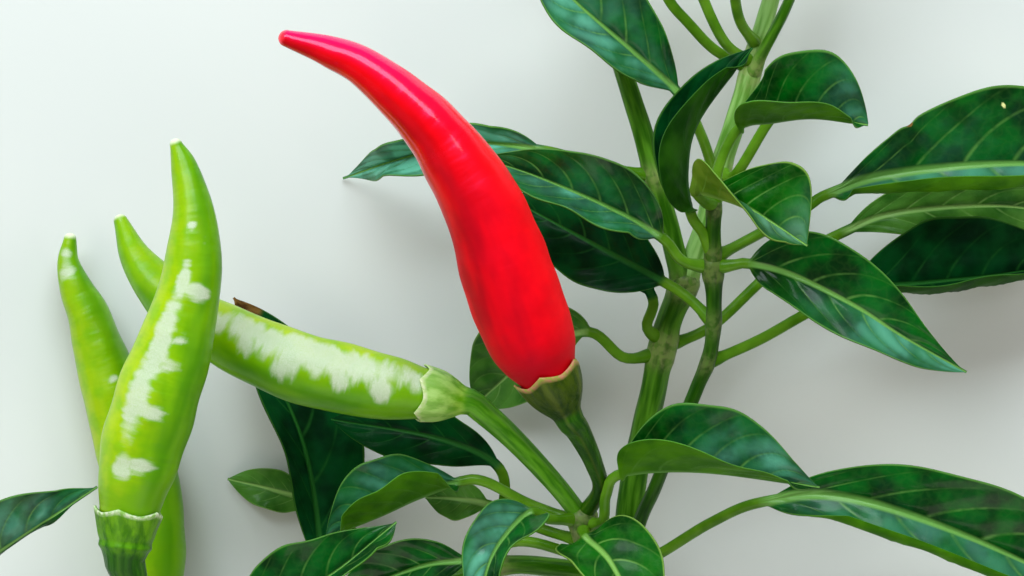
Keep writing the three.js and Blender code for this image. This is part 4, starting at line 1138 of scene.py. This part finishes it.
# Each tone's bluish sheen colour is painted: it stands for a reflection of the light, not a colour of
# the leaf.
leafColours = {
    "leaf": {
        "deep": tint(0, 40, 2), "fresh": tint(0, 84, 12), "paintedSheen": tint(96, 172, 144),
        "vein": tint(104, 156, 72), "margin": tint(100, 154, 66),
        "under": (tint(46, 100, 0), tint(68, 124, 4)), "gloss": 0.34,
    },
    "youngLeaf": {
        "deep": tint(0, 52, 0), "fresh": tint(12, 92, 4), "paintedSheen": tint(124, 184, 150),
        "vein": tint(124, 172, 80), "margin": tint(144, 182, 80),
        "under": (tint(66, 106, 12), tint(96, 130, 34)), "gloss": 0.18,
    },
    # For leaves that lie under others: partly their own darker green and partly painted shade.
    "darkLeaf": {
        "deep": tint(0, 34, 8), "fresh": tint(0, 66, 22), "paintedSheen": tint(70, 140, 124),
        "vein": tint(36, 98, 36), "margin": tint(66, 118, 38),
        "under": (tint(12, 56, 0), tint(34, 80, 6)), "gloss": 0.05,
    },
    "paleLeaf": {
        "deep": tint(36, 88, 14), "fresh": tint(76, 128, 42), "paintedSheen": tint(140, 190, 160),
        "vein": tint(132, 172, 92), "margin": tint(124, 164, 80),
        "under": (tint(84, 124, 36), tint(118, 150, 64)), "gloss": 0.16,
    },
}
leafMarks = {
    "stalk": (tint(64, 112, 6), tint(94, 142, 28)),
    "brown": (tint(72, 44, 18), tint(138, 102, 52)),
    "spot": tint(226, 226, 150),
}


def leafMaterial(tone):
    look, colours = leafLook, leafColours[tone]
    material, tree, shader = newMaterial(tone, look["surface"])
    inMetres = put(tree, "ShaderNodeTexCoord").outputs["Object"]
    longer = {0: inMetres, "Scale": 1 / metres}
    place = put(tree, "ShaderNodeVectorMath", longer, operation="SCALE").outputs[0]
    across, along, upper, _ = readAttribute(tree, "place")
    phase, share, mark, _ = readAttribute(tree, "vein")
    ribWidth = fromTo(tree, along, *look["ribWidth"])
    fromRib = calc(tree, "DIVIDE", calc(tree, "ABSOLUTE", across), ribWidth)
    rib = ease(tree, fromRib, *look["ribEdge"], 1.0, 0.0)
    nearVein = calc(tree, "PINGPONG", phase, 0.5)
    veinLine = ease(tree, nearVein, 0.0, look["veinWidth"], 1.0, 0.0)
    whole = fromTo(tree, maskOf(tree, place, look["breakScale"]), *look["breakShare"])
    strength = calc(tree, "MULTIPLY", ease(tree, share, *look["veinShare"]), whole)
    mainVeins = calc(tree, "MAXIMUM", rib, calc(tree, "MULTIPLY", veinLine, strength))
    # The fine net is the edges of cells whose places are pushed about by noise.
    push = put(tree, "ShaderNodeTexNoise", {"Vector": place, **look["push"]})
    pushed = {0: push.outputs["Color"], 1: (look["pushed"],) * 3, 2: place}
    warped = put(tree, "ShaderNodeVectorMath", pushed, operation="MULTIPLY_ADD")
    edges = {"Vector": warped.outputs[0], **look["net"]}
    cells = put(tree, "ShaderNodeTexVoronoi", edges, feature="DISTANCE_TO_EDGE")
    net = ease(tree, cells.outputs[0], *look["netEdge"])
    veins = calc(tree, "MAXIMUM", mainVeins, net)
    # A painted bluish sheen, standing for a reflection, lies on the domes between the veins, in patches.
    clouds = maskOf(tree, place, look["sheenScale"], look["sheenDetail"])
    patches = fromTo(tree, clouds, *look["sheenShare"])
    paintedSheen = calc(tree, "MULTIPLY", readAttribute(tree, "paintedSheen")[0], patches)
    green = mottled(tree, place, look["greenScale"], colours["deep"], colours["fresh"])
    top = layered(
        tree, green["Color"], (paintedSheen, colours["paintedSheen"]), (veins, colours["vein"]),
        (ease(tree, share, *look["margin"]), colours["margin"]),
    )
    under = mottled(tree, place, look["underScale"], *colours["under"])
    stalk = mottled(tree, place, look["greenScale"], *leafMarks["stalk"])
    brown = mottled(tree, place, look["brownScale"], *leafMarks["brown"], look["brownDetail"])
    paleMark = calc(tree, "MULTIPLY", mark, -1.0)
    sunken = calc(tree, "MULTIPLY", mainVeins, -look["veinDepth"])
    feed(tree, shader, {
        "Base Color": layered(
            tree, under["Color"],
            (calc(tree, "MULTIPLY", veins, look["underVeins"]), colours["vein"]),
            (upper, top),
            (ease(tree, along, *look["stalkEnd"]), stalk["Color"]),
            (ease(tree, mark, *look["brownFade"]), brown["Color"]),
            (ease(tree, paleMark, *look["spotFade"]), leafMarks["spot"]),
        ),
        "Roughness": ease(tree, upper, *look["topEdge"], *look["roughness"]),
        "Coat Weight": ease(tree, upper, *look["topEdge"], 0.0, colours["gloss"]),
        "Normal": raised(tree, place, *look["relief"], sunken),
    })
    return material


def halfBlade(side, along, stalk, bladeLength, wave):
    # One half of a blade, as arrays by station and share: how far out from the rib and up from it,
    # and the slope. Width = half * (along / widest)^base * ((1 - along) / (1 - widest))^end, held
    # under a slope from the stalk. Out and up are the slope's cosine and sine added up from the rib.
    inside = np.clip(along, 0, 1)
    widest = side["base"] / (side["base"] + side["end"])
    width = side["half"] * (inside / widest) ** side["base"]
    width = width * ((1 - inside) / (1 - widest)) ** side["end"]
    most = stalk + leafLook["baseSpread"] * bladeLength * inside
    width = width * most / (width ** 4 + most ** 4) ** 0.25
    width = np.maximum(width * (1 + wave), stalk)
    fold = np.clip((width - stalk) / side["growth"], 0, 1)
    fold = fold * (1 - side["unfold"] * smoothStep(*leafLook["unfolding"], inside))
    steps = leafLook["slopeSteps"]
    cells = np.arange(leafLook["cells"] + 1) / leafLook["cells"]
    shares = (1 - np.cos(np.pi * cells)) / 2
    low = np.minimum((shares * steps).astype(int), steps - 1)
    rest = shares * steps - low

    def slopes(places):
        first, last = side["slope"]
        return np.radians(fold[:, None] * (first + (last - first) * places ** side["curl"]))

    def addedUp(parts):
        sums = np.concatenate([np.zeros((len(along), 1)), np.cumsum(parts, 1)], 1)
        sums = sums * width[:, None] / steps
        return sums[:, low] * (1 - rest) + sums[:, low + 1] * rest

    middles = slopes((np.arange(steps) + 0.5) / steps)
    return shares, width, addedUp(np.cos(middles)), addedUp(np.sin(middles)), slopes(shares)


def leafSurface(name, material):
    # The middle of the blade is the line, plus each half's way out and up, plus the domes and waves
    # along its normal. The top and underside stand half the thickness from it, and the stalk is round.
    look = leafLook
    leaf = leaves[name]
    marks = leaf.get("marks", [])
    chance = np.random.default_rng(look["seed"] + list(leaves).index(name))
    line, carrier = rooted(leaf["line"])
    dense = np.linspace(0, 1, look["linePoints"])
    run = runLength(curveAt(line, dense))
    stalkLength = np.interp(leaf["blade"] / (len(line) - 1), dense, run)
    bladeLength = run[-1] - stalkLength
    stalkCount = max(6, int(stalkLength / look["stalkSpacing"]))
    bladeCount = int(np.clip(bladeLength / look["bladeSpacing"], *look["stations"]))
    steps = np.linspace(0, 1, bladeCount + 1)
    onBlade = steps / 2 + (1 - np.cos(np.pi * steps)) / 4
    along = np.concatenate([np.linspace(-1, 0, stalkCount, endpoint=False), onBlade])
    lengths = np.where(along < 0, (1 + along) * stalkLength, stalkLength + along * bladeLength)
    place = np.interp(lengths, run, dense)
    tangent = wayAt(line, place)
    leftward = unit(np.cross([0.0, 0.0, 1.0], tangent))
    upward = np.cross(tangent, leftward)
    along = along[:, None]
    inside = np.clip(along, 0, 1)
    stalk = look["stalkRadius"] * (1 - look["ribTaper"] * inside[:, 0]) * flare(lengths, carrier)
    grown = smoothStep(*look["grown"], along)
    middling = np.sin(np.pi * inside)

    def sideways(left, up):
        # Vectors that go so far to the left of the line and so far up from it.
        return leftward[:, None] * left[..., None] + upward[:, None] * up[..., None]

    halves = []
    for sign, key in ((1, "left"), (-1, "right")):
        side = {**look["side"], **leaf.get("both", {}), **leaf.get(key, {})}
        phase = chance.uniform(0, 2 * np.pi, 3)
        broad, fine = (np.sin(look["rippleWaves"][i] * along + phase[i]) for i in range(2))
        ripple = look["ripple"] * (broad + look["fineRipple"] * fine)
        for markAlong, markAcross, reach, kind in marks:
            if kind > 0 and markAcross * sign > 0:
                ripple = ripple - look["nick"] * hump((along - markAlong) * bladeLength, 0, reach)
        wave = (ripple * middling)[:, 0]
        halves.append((sign, side, phase, *halfBlade(side, along[:, 0], stalk, bladeLength, wave)))
    feet = [(sign, half[-1][:, :1]) for sign, *half in halves]
    ribNormal = unit(sum(sideways(-np.sin(slope) * sign, np.cos(slope)) for sign, slope in feet))
    stalk = stalk[:, None]
    tops, unders, places, veins, paintedSheens = [], [], [], [], []
    for sign, side, phase, shares, width, out, up, slope in halves:
        fromRib = shares * width[:, None]
        vein = look["veins"] * (along - look["veinSlant"] * shares ** 1.5)
        vein = vein + look["veinOffset"] * sign
        between = np.abs(np.sin(np.pi * vein))
        rising = smoothStep(0.0, look["domeEdge"], shares)
        domed = between ** 0.7 * rising * (1 - shares) ** 0.5 * middling ** 0.5
        lift = look["quilt"] * domed * np.clip(side["half"] / look["domeFull"], 0.3, 1)
        waving = look["waviness"] * shares ** 2 * np.sin(2 * np.pi * look["waves"] * along + phase[2])
        lift = lift + waving * middling
        share = smoothStep(0.0, 1.0, fromRib)[..., None]
        sideNormal = sideways(-np.sin(slope) * sign, np.cos(slope))
        normal = unit(ribNormal * (1 - share) + sideNormal * share)
        back = side["lobe"] * (fromRib / side["half"]) ** 1.5 * (1 - inside) ** 3
        middle = curveAt(line, place)[:, None] + sideways(out * sign, up) + normal * lift[..., None]
        middle = middle - tangent[:, None] * back[..., None]
        # The stalk is a little less than round, so that its top and underside don't meet in a line.
        roundStalk = stalk * np.sqrt(1 - (0.99 * shares) ** 2)
        flat = look["thickness"] / 2 * (1 - look["marginThinning"] * shares)
        channel = look["groove"] * hump(fromRib, 0, look["grooveReach"])
        rib = look["ribDepth"] * stalk * hump(fromRib, 0, look["ribReach"] * stalk)
        above = roundStalk * (1 - grown) + (flat - channel) * grown
        below = roundStalk * (1 - grown) + (flat + rib) * grown
        tops.append(middle + normal * above[..., None])
        unders.append(middle - normal * below[..., None])
        mark = np.zeros_like(fromRib)
        for markAlong, markAcross, reach, kind in marks:
            apart = np.hypot((along - markAlong) * bladeLength, fromRib * sign - markAcross)
            mark = mark + kind * (1 - smoothStep(*look["markEdge"], apart / reach))
        # Painted sheen: a bluish painted reflection on the domes, stronger toward the tip and lost
        # toward the margin.
        towardTip = smoothStep(*look["sheenRise"], along - side["sheenStart"])
        onDomes = look["sheenLow"] + (1 - look["sheenLow"]) * between ** 0.8
        paintedSheen = side["paintedSheen"] * towardTip * onDomes * (1 - look["sheenLoss"] * shares ** 2)
        fromMiddle = fromRib * sign / leaf.get("rib", 1.0)
        places.append(np.stack(np.broadcast_arrays(fromMiddle, along, 1.0), -1))
        veins.append(np.stack(np.broadcast_arrays(vein, shares, mark), -1))
        paintedSheens.append(np.stack([paintedSheen] * 3, -1))

    def acrossBoth(left, right):
        # From the left margin over the rib to the right margin.
        return np.concatenate([left[:, ::-1], right[:, 1:]], 1)

    def roundBoth(pair, underside):
        # Over the top from the left margin to the right one, and back along the underside.
        top = acrossBoth(*pair)
        return np.concatenate([top, top[:, ::-1] * underside], 1)

    rings = np.concatenate([acrossBoth(*tops), acrossBoth(*unders)[:, ::-1]], 1)
    attributes = {
        "place": roundBoth(places, (1, 1, 0)),
        "vein": roundBoth(veins, (1, 1, 1)),
        "paintedSheen": roundBoth(paintedSheens, (0, 0, 0)),
    }
    pieceFromRings(name + "_blade", name, rings, attributes, material)


# Everything grows here, because a stem swells where a leaf or a fruit starts.
stemMaterials = {tone: stemMaterial(tone) for tone in ("stem", "paleStem", "shoot")}
for name, stem in stems.items():
    stemSurface(name, stemMaterials[stem["colour"]])
print("stems grown:", len(stems))

fruitMaterials = {kind: fruitMaterial(kind) for kind in fruitColours}
for name, fruit in fruits.items():
    fruitSurface(name, fruitMaterials[fruit["colour"]])
print("fruits grown:", len(fruits))

calyxMaterials = {tone: calyxMaterial(tone) for tone in calyxColours}
for name, fruit in fruits.items():
    fruitStalkSurface(name, calyxMaterials[fruit["calyx"]["tone"]])
print("calyxes grown:", len(fruits))

leafMaterials = {tone: leafMaterial(tone) for tone in leafColours}
for name, leaf in leaves.items():
    leafSurface(name, leafMaterials[leaf["colour"]])
print("leaves grown:", len(leaves))

# The camera looks straight down from far away on the picture's middle, which is the source's origin.
view = {
    "pixel": 0.14,          # millimetres that a picture's pixel covers at the height in focus
    "frameWidth": 1024,
    "focusHeight": 30.0,
    "distance": 3000.0,
    "sensor": 36.0,
}
cameraData = bpy.data.cameras.new("camera")
cameraData.sensor_width = view["sensor"]
cameraData.lens = view["sensor"] * view["distance"] / (view["pixel"] * view["frameWidth"])
camera = bpy.data.objects.new("camera", cameraData)
camera.location = (shift + [0, 0, view["focusHeight"] + view["distance"]]) * metres
bpy.context.scene.collection.objects.link(camera)
bpy.context.scene.camera = camera
print("camera placed")

# A pale floor under the branch, and soft studio light.
studio = {
    "floorHalf": 3.0,
    "floor": (tint(214, 215, 212), tint(206, 208, 205)),
    "floorScale": 3.0,      # patches for each metre
    "floorRoughness": (0.72, 0.78),
    "world": (0.92, 0.95, 1.0, 1.0),
    "worldStrength": 0.12,
    # Place, width and height in metres, power in watts and colour of each soft box. Gloss shows
    # the key and front boxes, but not the large ones that only fill.
    "boxes": {
        "sky": ((-0.12, 0.50, 0.46), (0.9, 0.5), 3.6, (0.84, 0.96, 1.0)),
        "key": ((-0.10, 0.44, 0.52), (0.7, 0.28), 3.6, (0.84, 0.96, 1.0)),
        "left": ((-0.60, -0.10, 0.42), (0.6, 0.5), 1.9, (1.0, 0.96, 0.88)),
        "right": ((0.60, 0.05, 0.42), (0.6, 0.5), 1.9, (1.0, 0.97, 0.90)),
        "front": ((0.05, -0.60, 0.42), (0.9, 0.4), 1.6, (1.0, 0.93, 0.80)),
    },
    "shown": ("key", "front"),
}


def floorMaterial():
    material, tree, shader = newMaterial("floor", {"Specular IOR Level": 0.2})
    place = put(tree, "ShaderNodeTexCoord").outputs["Object"]
    paper = mottled(tree, place, studio["floorScale"], *studio["floor"])
    rough = fromTo(tree, paper["Mask"], *studio["floorRoughness"])
    feed(tree, shader, {"Base Color": paper["Color"], "Roughness": rough})
    return material


half = studio["floorHalf"]
corners = [(-half, -half, 0), (half, -half, 0), (half, half, 0), (-half, half, 0)]
floorMesh = bpy.data.meshes.new("floor")
floorMesh.from_pydata(corners, [], [(0, 1, 2, 3)])
floorMesh.materials.append(floorMaterial())
floor = bpy.data.objects.new("floor", floorMesh)
bpy.context.scene.collection.objects.link(floor)

for name, (place, size, power, colour) in studio["boxes"].items():
    lamp = bpy.data.lights.new(name, "AREA")
    lamp.shape = "RECTANGLE"
    lamp.size, lamp.size_y = size
    lamp.energy = power
    lamp.color = colour
    holder = bpy.data.objects.new(name, lamp)
    holder.location = place
    holder.rotation_euler = (-Vector(place)).to_track_quat("-Z", "Y").to_euler()
    holder.visible_glossy = name in studio["shown"]
    bpy.context.scene.collection.objects.link(holder)

world = bpy.data.worlds.new("studio")
world.use_nodes = True
background = world.node_tree.nodes["Background"]
background.inputs["Color"].default_value = studio["world"]
background.inputs["Strength"].default_value = studio["worldStrength"]
bpy.context.scene.world = world
bpy.context.scene.view_settings.view_transform = "Standard"
print("floor and light set")
